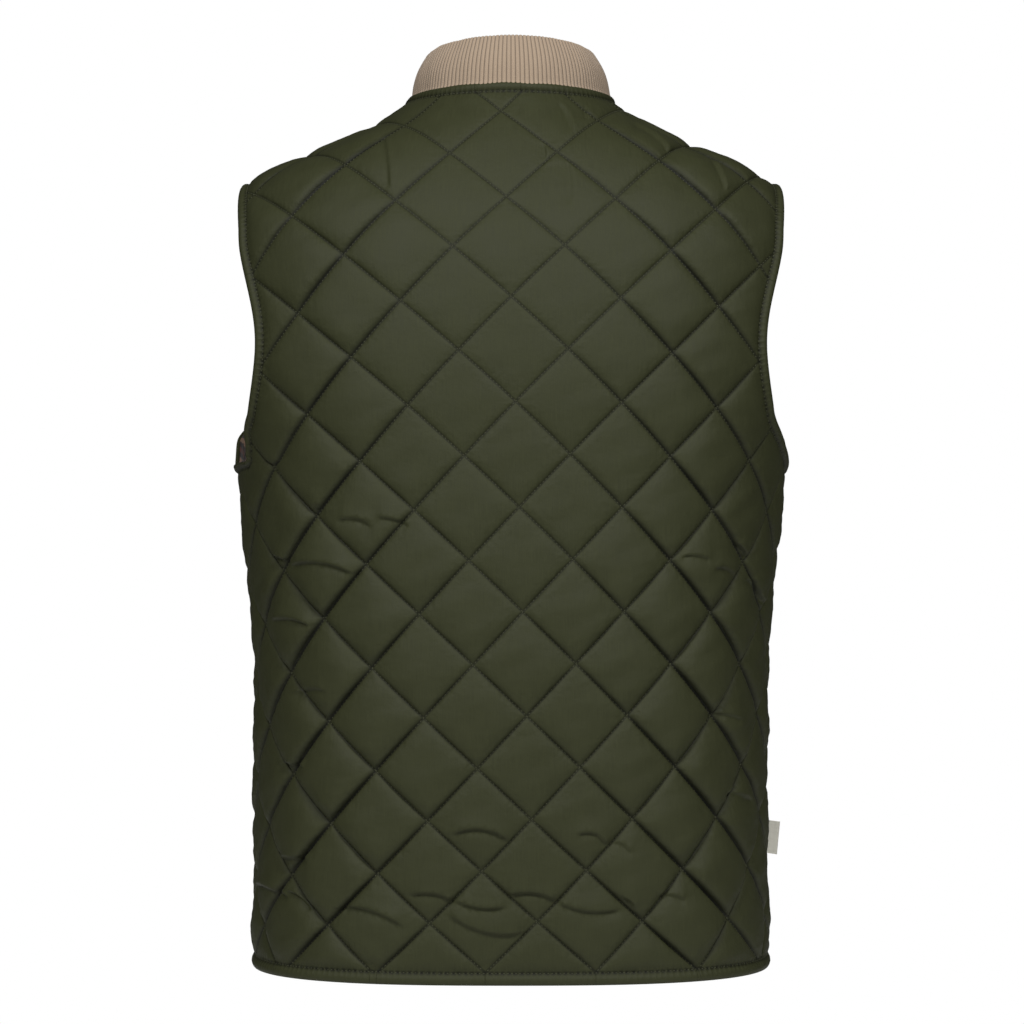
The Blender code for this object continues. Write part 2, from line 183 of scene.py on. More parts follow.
def patternRows():
    underarm, tip, neck = upTo["underarm"], upTo["shoulderTip"], upTo["neck"]
    body = np.linspace(0, underarm, pattern["bodyRows"], endpoint=False)
    turn = (1 - np.cos(np.linspace(0, np.pi, pattern["armholeRows"], endpoint=False))) / 2
    yoke = np.linspace(tip, neck, pattern["yokeRows"] + 1)
    return np.concatenate([body, underarm + (tip - underarm) * turn, yoke])


def refined(line):  # a smooth line through pattern points
    times = np.arange(0, len(line) - 1 + 1e-9, 1 / pattern["refine"])
    i = np.minimum(times.astype(int), len(line) - 2)
    t = (times - i)[:, None]
    padded = np.concatenate([[2 * line[0] - line[1]], line, [2 * line[-1] - line[-2]]])
    a, b, c, d = padded[i], padded[i + 1], padded[i + 2], padded[i + 3]
    return 0.5 * (2 * b + (c - a) * t + (2 * a - 5 * b + 4 * c - d) * t**2 + (3 * b - a - 3 * c + d) * t**3)


def cutPattern(name, angleAt):  # lays one panel flat and keeps where each flat point lies on the form
    ups, shares = patternRows(), np.linspace(0, 1, pattern["columns"] + 1)
    rows, columns = len(ups), len(shares)
    grid = bmesh.new()
    bmesh.ops.create_grid(grid, x_segments=columns - 1, y_segments=rows - 1, size=1)
    mesh = bpy.data.meshes.new(name)
    grid.to_mesh(mesh)
    grid.free()
    co = np.zeros(len(mesh.vertices) * 3, dtype=np.float32)
    mesh.vertices.foreach_get("co", co)
    column = np.rint((co[0::3] + 1) / 2 * (columns - 1)).astype(int)
    row = np.rint((co[1::3] + 1) / 2 * (rows - 1)).astype(int)
    up = ups[row]
    angle = angleAt(shares[column], up)
    mesh.vertices.foreach_set("co", formPoint(angle, up).astype(np.float32).ravel())
    sheet = bpy.data.objects.new(name, mesh)
    bpy.context.scene.collection.objects.link(sheet)
    bpy.context.view_layer.objects.active = sheet
    sheet.select_set(True)
    bpy.ops.object.mode_set(mode="EDIT")
    bpy.ops.mesh.select_all(action="SELECT")
    bpy.ops.uv.unwrap(method="MINIMUM_STRETCH", iterations=pattern["passes"], margin=0.0,
                      correct_aspect=False)
    bpy.ops.object.mode_set(mode="OBJECT")
    loops = np.zeros(len(mesh.loops), dtype=np.int32)
    mesh.loops.foreach_get("vertex_index", loops)
    uv = np.zeros(len(mesh.loops) * 2, dtype=np.float32)
    mesh.uv_layers.active.data.foreach_get("uv", uv)
    flat = np.zeros((len(mesh.vertices), 2))
    flat[loops] = uv.reshape(-1, 2)
    edges = np.zeros(len(mesh.edges) * 2, dtype=np.int32)
    mesh.edges.foreach_get("vertices", edges)
    edges = edges.reshape(-1, 2)
    place = formPoint(angle, up)
    worn = np.linalg.norm(np.diff(place[edges], axis=1), axis=-1).sum()
    flat *= worn / np.linalg.norm(np.diff(flat[edges], axis=1), axis=-1).sum()
    quads = loops.reshape(-1, 4)
    bpy.data.objects.remove(sheet)
    at = np.zeros((rows, columns), dtype=int)
    at[row, column] = np.arange(len(row))
    middle = columns // 2 if name == "back" else 0
    rise = flat[at[rows // 2, middle]] - flat[at[0, middle]]
    turn = np.array([[rise[1], -rise[0]], [rise[0], rise[1]]]) / np.linalg.norm(rise)
    flat = (flat - flat[at[0, middle]]) @ turn.T
    if flat[at[0, -1], 0] < flat[at[0, 0], 0]:  # shares run towards +s
        flat[:, 0] *= -1
    split = [0, pattern["bodyRows"], pattern["bodyRows"] + pattern["armholeRows"], rows - 1]
    def sideLine(column, part):  # one stretch of a side edge, from below
        return refined(flat[at[split[part]:split[part + 1] + 1, column]])

    last = columns - 1
    lines = dict(hem=refined(flat[at[0, :]]), endSide=sideLine(last, 0), endArmhole=sideLine(last, 1),
                 endShoulder=sideLine(last, 2), neck=refined(flat[at[-1, ::-1]]))
    if name == "back":
        lines.update(startShoulder=sideLine(0, 2)[::-1], startArmhole=sideLine(0, 1)[::-1],
                     startSide=sideLine(0, 0)[::-1])
    else:
        lines.update(zip=refined(flat[at[::-1, 0]]))
    triangles = np.concatenate([quads[:, [0, 1, 2]], quads[:, [0, 2, 3]]])
    tree = BVHTree.FromPolygons([(s, t, 0.0) for s, t in flat], triangles.tolist())
    corners = flat[triangles]
    size = np.abs((corners[:, 1, 0] - corners[:, 0, 0]) * (corners[:, 2, 1] - corners[:, 0, 1])
                  - (corners[:, 1, 1] - corners[:, 0, 1]) * (corners[:, 2, 0] - corners[:, 0, 0])).sum() / 2
    print("pattern", name, "flat size", np.ptp(flat, axis=0).round(3), "area", round(float(size), 4))
    dense = {key: evenly(line, pattern["edgeStep"]) for key, line in lines.items()}
    return dict(name=name, flat=flat, angle=angle, up=up, triangles=triangles, tree=tree, dense=dense,
                area=float(size), extent=np.ptp(flat, axis=0), angleAt=angleAt, ups=ups, shares=shares,
                flatGrid=flat[at])


def triangleMap(cut, flat):  # angle and height on the worn form of flat points, one by one
    found = [cut["tree"].find_nearest((s, t, 0.0))[2] for s, t in flat.tolist()]
    corner = cut["triangles"][np.array(found)]
    a, b, c = (cut["flat"][corner[:, i]] for i in range(3))
    ab, ac, ap = b - a, c - a, flat - a
    area = ab[:, 0] * ac[:, 1] - ab[:, 1] * ac[:, 0]
    wb = (ap[:, 0] * ac[:, 1] - ap[:, 1] * ac[:, 0]) / area
    wc = (ab[:, 0] * ap[:, 1] - ab[:, 1] * ap[:, 0]) / area
    weights = np.stack([1 - wb - wc, wb, wc], axis=1)
    return (cut["angle"][corner] * weights).sum(1), (cut["up"][corner] * weights).sum(1)


def addRaster(cut):  # the same maps, and the room to each edge, on an even raster for quick reading
    step, margin = pattern["raster"], 4 * pattern["raster"]
    low = cut["flat"].min(0) - margin
    size = np.ceil((cut["flat"].max(0) + margin - low) / step).astype(int) + 1
    s, t = np.meshgrid(low[0] + step * np.arange(size[0]), low[1] + step * np.arange(size[1]), indexing="ij")
    nodes = np.stack([s.ravel(), t.ravel()], axis=1)
    angle, up = triangleMap(cut, nodes)
    layers = dict(angle=angle, up=up, **edgeLevels(cut, nodes)[0])
    layers = {key: layer.reshape(size) for key, layer in layers.items()}
    cut["raster"] = dict(low=low, step=step, layers=layers)


def between(grid, i, j, u, v):  # value at shares u and v of the way across a cell of a grid
    low = grid[i, j] * (1 - u) + grid[i + 1, j] * u
    return low * (1 - v) + (grid[i, j + 1] * (1 - u) + grid[i + 1, j + 1] * u) * v


def readRaster(cut, flat, keys):
    raster = cut["raster"]
    spot = (flat - raster["low"]) / raster["step"]
    size = np.array(raster["layers"]["up"].shape)
    cell = np.clip(spot.astype(int), 0, size - 2)
    (u, v), (i, j) = (spot - cell).T, cell.T
    return [between(raster["layers"][key], i, j, u, v) for key in keys]


def onForm(cut, flat):  # where flat points of a pattern lie on the worn form
    return readRaster(cut, flat, ("angle", "up"))


def roomTo(cut, flat):  # room to every edge
    return dict(zip(cut["dense"], readRaster(cut, flat, cut["dense"])))


# quilting: stitch lines run along whole numbers of p and q; i and j count diamonds across and up
quilt = dict(cellSteps=25, widest=10, crowd=0.52, side=0.0527, cellReach=26, margin=0.05, boxMargin=0.002,
             splitClear=0.03, uneven=0.16, sideFrom=0.14,
             tautPuff=0.0022, loosePuff=0.0082, sidePuffCut=0.38, sidePuffOver=0.06,
             tautRoll=0.0040, looseUpper=0.0120, looseLower=0.0024, openRoll=0.35,
             tautSunk=-0.0026, looseSunk=-0.0044, trench=0.0010, trenchShare=0.20,
             crownShare=0.36, crown=0.0130,
             hang=0.0011, hangReach=0.005, openHang=0.3, heldReach=0.010,
             biasReach=0.11, sideBiasCut=0.7, sideBiasOver=0.05, biasSunk=0.0005, sunkReach=0.003,
             biasBulge=0.0018, bulgeReach=0.009,
             pucker=0.00036, puckerReach=0.007, puckerRise=0.0016, tautPucker=0.25,
             swell=0.0010, fineSwell=0.00034, tautSwell=0.15, creaseReach=0.004, creaseLeast=0.25,
             seamSunk=-0.0036, seamReach=0.0045, edgeRipple=0.0004, rippleReach=0.010, rippleRise=0.003)
welt = dict(hem=0.0080, armhole=0.0072, neck=0.0074, zip=0.0070, ease=0.0065, sunk=-0.0027, notchReach=0.012)
# rows of the turned edge: share of the way to the edge, further out, height
weltRows = [
    (0.12, 0.0, -0.0021), (0.27, 0.0, -0.0010), (0.46, 0.0, -0.0003), (0.68, 0.0, -0.0001),
    (0.88, 0.0, -0.0006), (1.0, 0.0002, -0.0013), (1.0, 0.0007, -0.0019), (1.0, 0.0009, -0.0026),
    (1.0, 0.0007, -0.0033), (1.0, -0.0001, -0.0039), (1.0, -0.0014, -0.0042),
]
seamRows = [(0.0, 0.0008, -0.0045), (0.0, 0.0022, -0.0053)]
# how the back's quilting lies: its pitch, its drift to the right, and how slack cloth closes it up
backQuilt = dict(s=-0.002893, across=0.03959, lean=-0.001918, skew=-0.0001656, narrow=-0.0001674,
                 leanTurn=-0.0001114, slack=-0.00001338, narrowEase=-0.0001078, leanTwist=-0.000006144,
                 narrowTwist=-0.000006484, t=0.5674, climb=0.0001947, up=0.03799, droop=-0.000111,
                 climbTurn=-0.00007243, crowd=0.00005058, climbBend=0.000008432, droopTurn=0.000005224,
                 climbEase=-0.000004873)
frontQuilt = dict(dict.fromkeys(backQuilt, 0.0), t=0.5470, across=0.0382, up=0.0373)


def latticePlace(lay, p, q):  # flat place of a lattice point
    i, j = p + q, p - q
    s = lay["s"] + lay["lean"] * j + lay["leanTurn"] * j**2 + lay["leanTwist"] * j**3
    s = s + lay["skew"] * i**2 + lay["slack"] * i**3
    s = s + i * (lay["across"] + lay["narrow"] * j + lay["narrowEase"] * j**2 + lay["narrowTwist"] * j**3)
    t = lay["t"] + lay["up"] * j + lay["crowd"] * j**2
    t = t + i**2 * (lay["droop"] + lay["droopTurn"] * j) + lay["climbBend"] * i**3
    t = t + i * (lay["climb"] + lay["climbTurn"] * j + lay["climbEase"] * j**2)
    return np.stack([s, t], axis=-1)


def nearestOn(points, line):  # distance to a dense line, and the index of its nearest point
    distance, index = np.zeros(len(points)), np.zeros(len(points), dtype=int)
    lengths = (line**2).sum(1)
    for start in range(0, len(points), 20000):
        part = points[start:start + 20000]
        squares = (part**2).sum(1)[:, None] - 2 * part @ line.T + lengths
        index[start:start + 20000] = squares.argmin(1)
        distance[start:start + 20000] = np.sqrt(np.maximum(squares.min(1), 0))
    return distance, index


def evenly(line, step):  # the same line with points a fixed step apart
    run = np.concatenate([[0], np.cumsum(np.linalg.norm(np.diff(line, axis=0), axis=1))])
    at = np.linspace(0, run[-1], max(2, int(run[-1] / step) + 1))
    return np.stack([np.interp(at, run, line[:, k]) for k in range(2)], axis=1)


def weltOf(lineName):
    for key in ("hem", "neck", "zip"):
        if lineName == key:
            return welt[key]
    return welt["armhole"] if "Armhole" in lineName else 0.0


def insideOutline(cut, flat):
    outline = np.concatenate([line[:-1:4] for line in cut["dense"].values()])
    following = np.roll(outline, -1, axis=0)
    crossings = np.zeros(len(flat), dtype=int)
    for (s0, t0), (s1, t1) in zip(outline.tolist(), following.tolist()):
        if t0 != t1:
            level = (flat[:, 1] < t0) != (flat[:, 1] < t1)
            crossings += level & (flat[:, 0] < s0 + (flat[:, 1] - t0) * (s1 - s0) / (t1 - t0))
    return crossings % 2 == 1


def edgeLevels(cut, flat):  # signed room to every edge of the panel: inside is positive
    levels, feet, inwards = {}, {}, {}
    inside = insideOutline(cut, flat)
    for name, dense in cut["dense"].items():
        distance, index = nearestOn(flat, dense)
        ahead = np.minimum(index + 1, len(dense) - 1)
        run = dense[ahead] - dense[np.maximum(index - 1, 0)]
        inward = unit(np.stack([-run[:, 1], run[:, 0]], axis=1))
        offset = ((flat - dense[index]) * inward).sum(1)
        ends = (index == 0) | (index == len(dense) - 1)
        signed = np.where(ends, np.where(inside, distance, -distance), offset)
        levels[name] = signed - weltOf(name)
        feet[name] = np.where(ends[:, None], dense[index], flat - inward * offset[:, None])
        inwards[name] = inward
    return levels, feet, inwards


def nearestEdge(levels, values, names):  # of the named edges, the value that belongs to the nearest
    closest = np.argmin([np.abs(levels[name]) for name in names], axis=0)
    return np.stack([values[name] for name in names])[closest, np.arange(len(closest))]


# made-up unevenness: pace along each direction, and seed
wavers = dict(cells=(2.1, 2.7, 5), puckerP=(42, 4, 11), puckerQ=(42, 4, 12), swell=(150, 210, 21),
              fineSwell=(480, 620, 22), ripple=(420, 420, 31), crumple=(14, 60, 41),
              fineCrumple=(34, 120, 42),
              ribs=(2.3, 3, 51), collar=(9, 5, 52))
waves = dict(count=6, slow=0.6, fast=1.7, reach=1.6)


def wander(name, a, b):  # smooth, between about -1 and 1
    paceA, paceB, seed = wavers[name]
    a, b = a * paceA, b * paceB
    dice = np.random.RandomState(seed)
    total = np.zeros(np.broadcast(a, b).shape)
    for k in range(waves["count"]):
        turn = dice.uniform(0, 2 * np.pi)
        pace = dice.uniform(waves["slow"], waves["fast"])
        start = dice.uniform(0, 2 * np.pi)
        total += np.sin((a * np.cos(turn) + b * np.sin(turn)) * pace + start)
    return total / waves["count"] * waves["reach"]


def smoothStep(x):
    x = np.clip(x, 0, 1)
    return x * x * (3 - 2 * x)


slack = dict(fallFrom=0.12, fallOver=0.34, sideFrom=0.04, sideOver=0.12, least=0.06, byFall=0.54, bySide=0.46)


def looseness(place):  # 0 where the cloth is drawn tight over the shoulders, 1 where it hangs slack
    fall = smoothStep((-place[:, 2] - slack["fallFrom"]) / slack["fallOver"])
    side = smoothStep((np.abs(place[:, 0]) - slack["sideFrom"]) / slack["sideOver"])
    return np.clip(slack["least"] + slack["byFall"] * fall + slack["bySide"] * side, 0, 1)


def pictured(place):  # where a point shows against the level of the shoulders, in metres
    centreX, cameraY, centreZ = view["place"]
    away = (place[:, 1] - cameraY) / -cameraY
    return (place[:, 0] - centreX) / away + centreX, (place[:, 2] - centreZ) / away + centreZ


# creases of the back as seen from behind, in metres: start x z, end x z, bow, depth, width
creases = [
    (-0.044, -0.561, -0.002, -0.566, 0.006, 0.0014, 0.0042),
    (-0.075, -0.607, -0.041, -0.613, 0.004, 0.0013, 0.0040),
    (-0.041, -0.612, -0.005, -0.616, -0.003, 0.0013, 0.0042),
    (-0.001, -0.607, 0.035, -0.612, 0.004, 0.0014, 0.0040),
    (0.036, -0.613, 0.082, -0.618, -0.004, 0.0013, 0.0045),
    (0.084, -0.608, 0.093, -0.615, 0.001, 0.0011, 0.0035),
    (0.112, -0.607, 0.131, -0.611, 0.002, 0.0011, 0.0038),
    (0.050, -0.561, 0.073, -0.570, 0.005, 0.0012, 0.0040),
    (0.077, -0.567, 0.090, -0.575, 0.002, 0.0010, 0.0035),
    (-0.130, -0.616, -0.082, -0.630, 0.004, 0.0014, 0.0050),
    (-0.047, -0.622, 0.007, -0.636, -0.006, 0.0012, 0.0060),
    (-0.193, -0.598, -0.170, -0.609, 0.002, 0.0013, 0.0040),
    (-0.169, -0.604, -0.152, -0.618, 0.002, 0.0013, 0.0040),
    (-0.174, -0.579, -0.155, -0.580, 0.002, 0.0012, 0.0038),
    (-0.130, -0.324, -0.105, -0.328, 0.003, 0.0012, 0.0042),
    (-0.100, -0.322, -0.078, -0.328, 0.002, 0.0011, 0.0040),
    (-0.167, -0.358, -0.120, -0.363, 0.004, 0.0014, 0.0048),
    (-0.180, -0.351, -0.169, -0.355, 0.001, 0.0012, 0.0036),
    (-0.179, -0.399, -0.152, -0.402, 0.002, 0.0013, 0.0042),
    (0.153, -0.360, 0.169, -0.365, 0.002, 0.0012, 0.0040),
    (0.130, -0.351, 0.149, -0.354, 0.002, 0.0011, 0.0038),
    (0.180, -0.368, 0.192, -0.386, 0.001, 0.0012, 0.0040),
    (0.170, -0.341, 0.180, -0.352, 0.001, 0.0012, 0.0038),
    (0.038, -0.009, 0.047, -0.028, 0.001, 0.0009, 0.0045),
    (0.058, -0.011, 0.058, -0.020, 0.000, 0.0008, 0.0040),
    (0.025, -0.038, 0.026, -0.055, 0.001, 0.0008, 0.0045),
    (0.044, -0.053, 0.046, -0.084, 0.001, 0.0007, 0.0050),
    (-0.096, -0.033, -0.092, -0.072, 0.001, 0.0008, 0.0050),
    (0.153, -0.053, 0.162, -0.074, 0.001, 0.0009, 0.0045),
    (0.093, -0.025, 0.121, -0.046, 0.002, 0.0009, 0.0045),
    (-0.165, -0.455, -0.140, -0.452, 0.002, 0.0009, 0.0040),
    (0.150, -0.470, 0.172, -0.474, 0.002, 0.0009, 0.0040),
    (-0.176, -0.508, -0.158, -0.511, 0.002, 0.0010, 0.0040),
    (0.163, -0.530, 0.182, -0.536, 0.002, 0.0010, 0.0040),
]
fold = dict(hold=0.38, fade=0.012, step=0.58, over=1.3, overReach=2.0, under=1.8, underReach=1.1,
            fineAlong=0.62, fineReach=0.0042, fineCuts=1, frontShift=(0.006, 0.0, 0.014))


def creaseLines(place):  # for each crease: place along it, distance above it, depth and width
    turned = place * [-1, -1, 1] + fold["frontShift"]  # the fronts crease in the same way
    x, z = pictured(np.where(place[:, 1:2] < 0, place, turned))
    for x0, z0, x1, z1, bow, depth, width in creases:
        run = np.array([x1 - x0, z1 - z0])
        length = np.hypot(*run)
        along = ((x - x0) * run[0] + (z - z0) * run[1]) / length**2
        within = np.clip(along, 0, 1)
        above = ((z - z0) * run[0] - (x - x0) * run[1]) / length - bow * 4 * within * (1 - within)
        yield along, above, depth, width


def creaseDepth(place):
    total = np.zeros(len(place))
    for along, above, depth, width in creaseLines(place):
        fade = np.exp(-np.maximum(np.abs(along - 0.5) - fold["hold"], 0) ** 2 / fold["fade"])
        step = smoothStep(above / (fold["step"] * width) + 0.5)
        over = fold["over"] * np.exp(-np.maximum(above, 0) / (fold["overReach"] * width))
        under = -fold["under"] * np.exp(np.minimum(above, 0) / (fold["underReach"] * width))
        total += depth * fade * (step * over + (1 - step) * under)
    return total


def refineCreases(cut, bm, layers):  # more points where the cloth folds over
    flat = np.array([(v[layers["s"]], v[layers["t"]]) for v in bm.verts])
    place = formPoint(*onForm(cut, flat))
    near = np.zeros(len(place), dtype=bool)
    for along, above, _, _ in creaseLines(place):
        near |= (np.abs(along - 0.5) < fold["fineAlong"]) & (np.abs(above) < fold["fineReach"])
    bm.verts.index_update()
    edges = [e for e in bm.edges if near[e.verts[0].index] and near[e.verts[1].index]]
    bmesh.ops.subdivide_edges(bm, edges=edges, cuts=fold["fineCuts"], use_grid_fill=True)


def easedIn(d, reach):  # from 0 at a stitch line towards 1
    return 1 - np.exp(-d / reach)


def hump(d, reach):  # rises from 0 to 1 and dies away
    return d / reach * np.exp(1 - d / reach)


# height of the quilted cloth over the form, and how far it hangs over its lower seams
def clothShape(p, q, flat, place, levels):
    loose = looseness(place)
    aside = np.abs(place[:, 0]) - quilt["sideFrom"]
    fp, fq = p - np.floor(p), q - np.floor(q)
    lower = [fp * quilt["side"], (1 - fq) * quilt["side"]]
    upper = [(1 - fp) * quilt["side"], fq * quilt["side"]]
    da, db = np.minimum(lower[0], upper[0]), np.minimum(lower[1], upper[1])
    toLine = np.minimum(da, db)
    slackPuff = (quilt["loosePuff"] - quilt["tautPuff"]) * loose
    sideCut = quilt["sidePuffCut"] * smoothStep(aside / quilt["sidePuffOver"])
    puff = quilt["tautPuff"] + slackPuff * (1 - sideCut)
    uneven = 1 + quilt["uneven"] * wander("cells", np.floor(p), np.floor(q))
    # each half of the back is drawn out along one diagonal, and closes up over the stitch lines across it
    drawn = np.clip(place[:, 0] / quilt["biasReach"], -1, 1) * (place[:, 1] < 0)
    drawn = drawn * (1 - quilt["sideBiasCut"] * smoothStep(aside / quilt["sideBiasOver"]))
    shut = [np.maximum(drawn, 0), np.maximum(-drawn, 0)]
    pillow = np.ones(len(p))
    for distances, looseRoll in ((lower, quilt["looseLower"]), (upper, quilt["looseUpper"])):
        for d, closed in zip(distances, shut):
            slackRoll = (looseRoll - quilt["tautRoll"]) * loose
            roll = quilt["tautRoll"] + slackRoll * (quilt["openRoll"] + (1 - quilt["openRoll"]) * closed)
            broad = quilt["crownShare"] * easedIn(d, quilt["crown"])
            turned = (1 - quilt["crownShare"]) * easedIn(d, roll) + broad
            pillow *= (1 - quilt["trenchShare"]) * turned + quilt["trenchShare"] * easedIn(d, quilt["trench"])
    lift = quilt["tautSunk"] + (quilt["looseSunk"] - quilt["tautSunk"]) * loose + puff * pillow * uneven
    pucker = np.exp(-da / quilt["puckerReach"]) * wander("puckerP", q, p)
    pucker = pucker + np.exp(-db / quilt["puckerReach"]) * wander("puckerQ", p, q)
    pucker = quilt["pucker"] * pucker * (quilt["tautPucker"] + (1 - quilt["tautPucker"]) * loose)
    lift += pucker * np.minimum(1, toLine / quilt["puckerRise"])
    swell = quilt["swell"] * wander("swell", *flat.T) + quilt["fineSwell"] * wander("fineSwell", *flat.T)
    lift += (quilt["tautSwell"] + (1 - quilt["tautSwell"]) * loose) * swell * pillow
    lift += creaseDepth(place) * np.minimum(1, toLine / quilt["creaseReach"] + quilt["creaseLeast"])
    held = [np.minimum(1, d / quilt["heldReach"]) for d in (db, da)]
    drop = np.zeros(len(p))
    for k, d in enumerate((da, db)):
        bulge = quilt["biasBulge"] * hump(lower[k], quilt["bulgeReach"]) * held[k]
        lift += loose * shut[k] * (bulge - quilt["biasSunk"] * np.exp(-d / quilt["sunkReach"]))
        hang = quilt["hang"] * loose * (quilt["openHang"] + shut[k]) * hump(lower[k], quilt["hangReach"])
        drop = np.maximum(drop, hang * held[k])
    ripple = quilt["edgeRipple"] * wander("ripple", *flat.T)
    for name, level in levels.items():
        room = np.maximum(level, 0)
        reach, depth = quilt["seamReach"], quilt["seamSunk"]
        if weltOf(name):
            reach, depth = welt["ease"], welt["sunk"]
        hold = np.exp(-room / reach)
        rippled = np.exp(-room / quilt["rippleReach"]) * np.minimum(1, room / quilt["rippleRise"])
        lift = lift * (1 - hold) + depth * hold + ripple * rippled
        drop = drop * (1 - hold)
    return lift, drop


def latticeSteps(low, high):  # closer together at the stitch lines
    n = quilt["cellSteps"]
    x = np.arange(n) / n
    inCell = x - quilt["crowd"] / (2 * np.pi) * np.sin(2 * np.pi * x)
    return np.concatenate([(np.arange(low, high)[:, None] + inCell).ravel(), [high]])


def cornerSpots(cut):  # stitched corner of each welt, with the corner of the cloth outside it
    names, spots = list(cut["dense"]), []
    for before, after in zip(names, names[1:] + names[:1]):
        a, b = cut["dense"][before], cut["dense"][after]
        if weltOf(before) and weltOf(after):
            inA = unit(np.array([a[-2, 1] - a[-1, 1], a[-1, 0] - a[-2, 0]]))
            inB = unit(np.array([b[0, 1] - b[1, 1], b[1, 0] - b[0, 0]]))
            spots.append((b[0] + inA * weltOf(before) + inB * weltOf(after), b[0]))
        elif weltOf(before) or weltOf(after):
            seam = b[:60] if weltOf(before) else a[-60:]
            turned = before if weltOf(before) else after
            room = nearestOn(seam, cut["dense"][turned])[0] - weltOf(turned)
            spots.append((seam[np.abs(room).argmin()], b[0]))
    return spots


# grid along the stitch lines, cut at the topstitching, with the turned edges drawn out of it
def quiltSheet(cut, lay):
    outline = np.concatenate(list(cut["dense"].values()))
    low, high = outline.min(0), outline.max(0)
    cells = np.arange(-quilt["cellReach"], quilt["cellReach"] + 1)
    p, q = (line.ravel() for line in np.meshgrid(cells, cells))
    flat = latticePlace(lay, p, q)
    margin = quilt["margin"]
    near = ((flat > low - margin) & (flat < high + margin)).all(1) & (np.abs(p + q) <= quilt["widest"])
    pLine = latticeSteps(p[near].min(), p[near].max())
    qLine = latticeSteps(q[near].min(), q[near].max())
    bm = bmesh.new()
    bmesh.ops.create_grid(bm, x_segments=len(pLine) - 1, y_segments=len(qLine) - 1, size=1)
    layers = {key: bm.verts.layers.float.new(key) for key in ("p", "q", "s", "t")}
    rowOf = bm.verts.layers.int.new("row")
    co = np.array([v.co[:2] for v in bm.verts])
    p = pLine[np.rint((co[:, 0] + 1) / 2 * (len(pLine) - 1)).astype(int)]
    q = qLine[np.rint((co[:, 1] + 1) / 2 * (len(qLine) - 1)).astype(int)]
    flat = latticePlace(lay, p, q)
    level = np.full(len(p), -1.0)
    margin = quilt["boxMargin"]
    inBox = ((flat > low - margin) & (flat < high + margin)).all(1) & (np.abs(p + q) <= quilt["widest"])
    level[inBox] = np.min(list(roomTo(cut, flat[inBox]).values()), axis=0)
    for key, values in zip(layers, (p, q, *flat.T)):
        for v, value in zip(bm.verts, values.tolist()):
            v[layers[key]] = value
    bm.verts.index_update()
    inside, value = (level > 0).tolist(), dict(zip(bm.verts, level.tolist()))
    outside = [f for f in bm.faces if not any(inside[v.index] for v in f.verts)]
    bmesh.ops.delete(bm, geom=outside, context="FACES")
    crossing = [e for e in bm.edges if (value[e.verts[0]] > 0) != (value[e.verts[1]] > 0)]
    fresh = []
    for e in crossing:
        a, b = e.verts
        share = np.clip(value[a] / (value[a] - value[b]), quilt["splitClear"], 1 - quilt["splitClear"])
        fresh.append(bmesh.utils.edge_split(e, a, float(share))[1])
    bmesh.ops.connect_verts(bm, verts=fresh)
    freshSet = set(fresh)
    outside = [v for v in bm.verts if v not in freshSet and value[v] <= 0]
    bmesh.ops.delete(bm, geom=outside, context="VERTS")
    refineCreases(cut, bm, layers)
    rim = [v for v in bm.verts if v.is_boundary]
    rimFlat = np.array([(v[layers["s"]], v[layers["t"]]) for v in rim])
    levels, feet, _ = edgeLevels(cut, rimFlat)
    welts = [name for name in levels if weltOf(name)]
    seams = [name for name in levels if not weltOf(name)]
    toSeam, toWelt = (np.min([np.abs(levels[name]) for name in names], axis=0) for names in (seams, welts))
    onSeam = nearestEdge(levels, feet, seams)
    for k in np.flatnonzero(toSeam < toWelt):  # the cut edge runs exactly along the seam
        rim[k][layers["s"]], rim[k][layers["t"]] = onSeam[k]
    for spot, _ in cornerSpots(cut):
        v = rim[np.linalg.norm(rimFlat - spot, axis=1).argmin()]
        v[layers["s"]], v[layers["t"]] = spot
    edges = [e for e in bm.edges if e.is_boundary]
    middle = [[(e.verts[0][layers[key]] + e.verts[1][layers[key]]) / 2 for key in ("s", "t")] for e in edges]
    levels = edgeLevels(cut, np.array(middle))[0]
    names = list(levels)
    onWelt = [bool(weltOf(names[k])) for k in np.argmin([np.abs(levels[n]) for n in names], axis=0)]
    growEdge(bm, [e for e, isWelt in zip(edges, onWelt) if isWelt], rowOf, len(weltRows), 1)
    growEdge(bm, [e for e, isWelt in zip(edges, onWelt) if not isWelt], rowOf, len(seamRows), -1)
    return bm, layers, rowOf


def growEdge(bm, border, rowOf, count, sign):
    for k in range(count):
        grown = bmesh.ops.extrude_edge_only(bm, edges=border)["geom"]
        fresh = {g for g in grown if isinstance(g, bmesh.types.BMVert)}
        border = [g for g in grown if isinstance(g, bmesh.types.BMEdge) and set(g.verts) <= fresh]
        for v in fresh:
            v[rowOf] = sign * (k + 1)


def alongEdges(cut, flat, rooms):  # distance from the nearest topstitching, and how far along it
    edge = np.full((len(flat), 2), 0.1)
    for name, dense in cut["dense"].items():
        if weltOf(name):
            close = np.flatnonzero((rooms[name] < welt["notchReach"]) & (rooms[name] < edge[:, 0]))
            edge[close, 0] = np.maximum(rooms[name][close], 0)
            edge[close, 1] = nearestOn(flat[close], dense)[1] * pattern["edgeStep"]
    return edge


def gridOf(columns, rows):  # a grid, with the column and row of each of its points
    bm = bmesh.new()
    bmesh.ops.create_grid(bm, x_segments=columns - 1, y_segments=rows - 1, size=1)
    co = np.array([v.co[:2] for v in bm.verts])
    bm.verts.index_update()
    column = np.rint((co[:, 0] + 1) / 2 * (columns - 1)).astype(int)
    return bm, column, np.rint((co[:, 1] + 1) / 2 * (rows - 1)).astype(int)


def setPlaces(bm, places):
    for v, co in zip(bm.verts, places.tolist()):
        v.co = co


facingSample = 3000


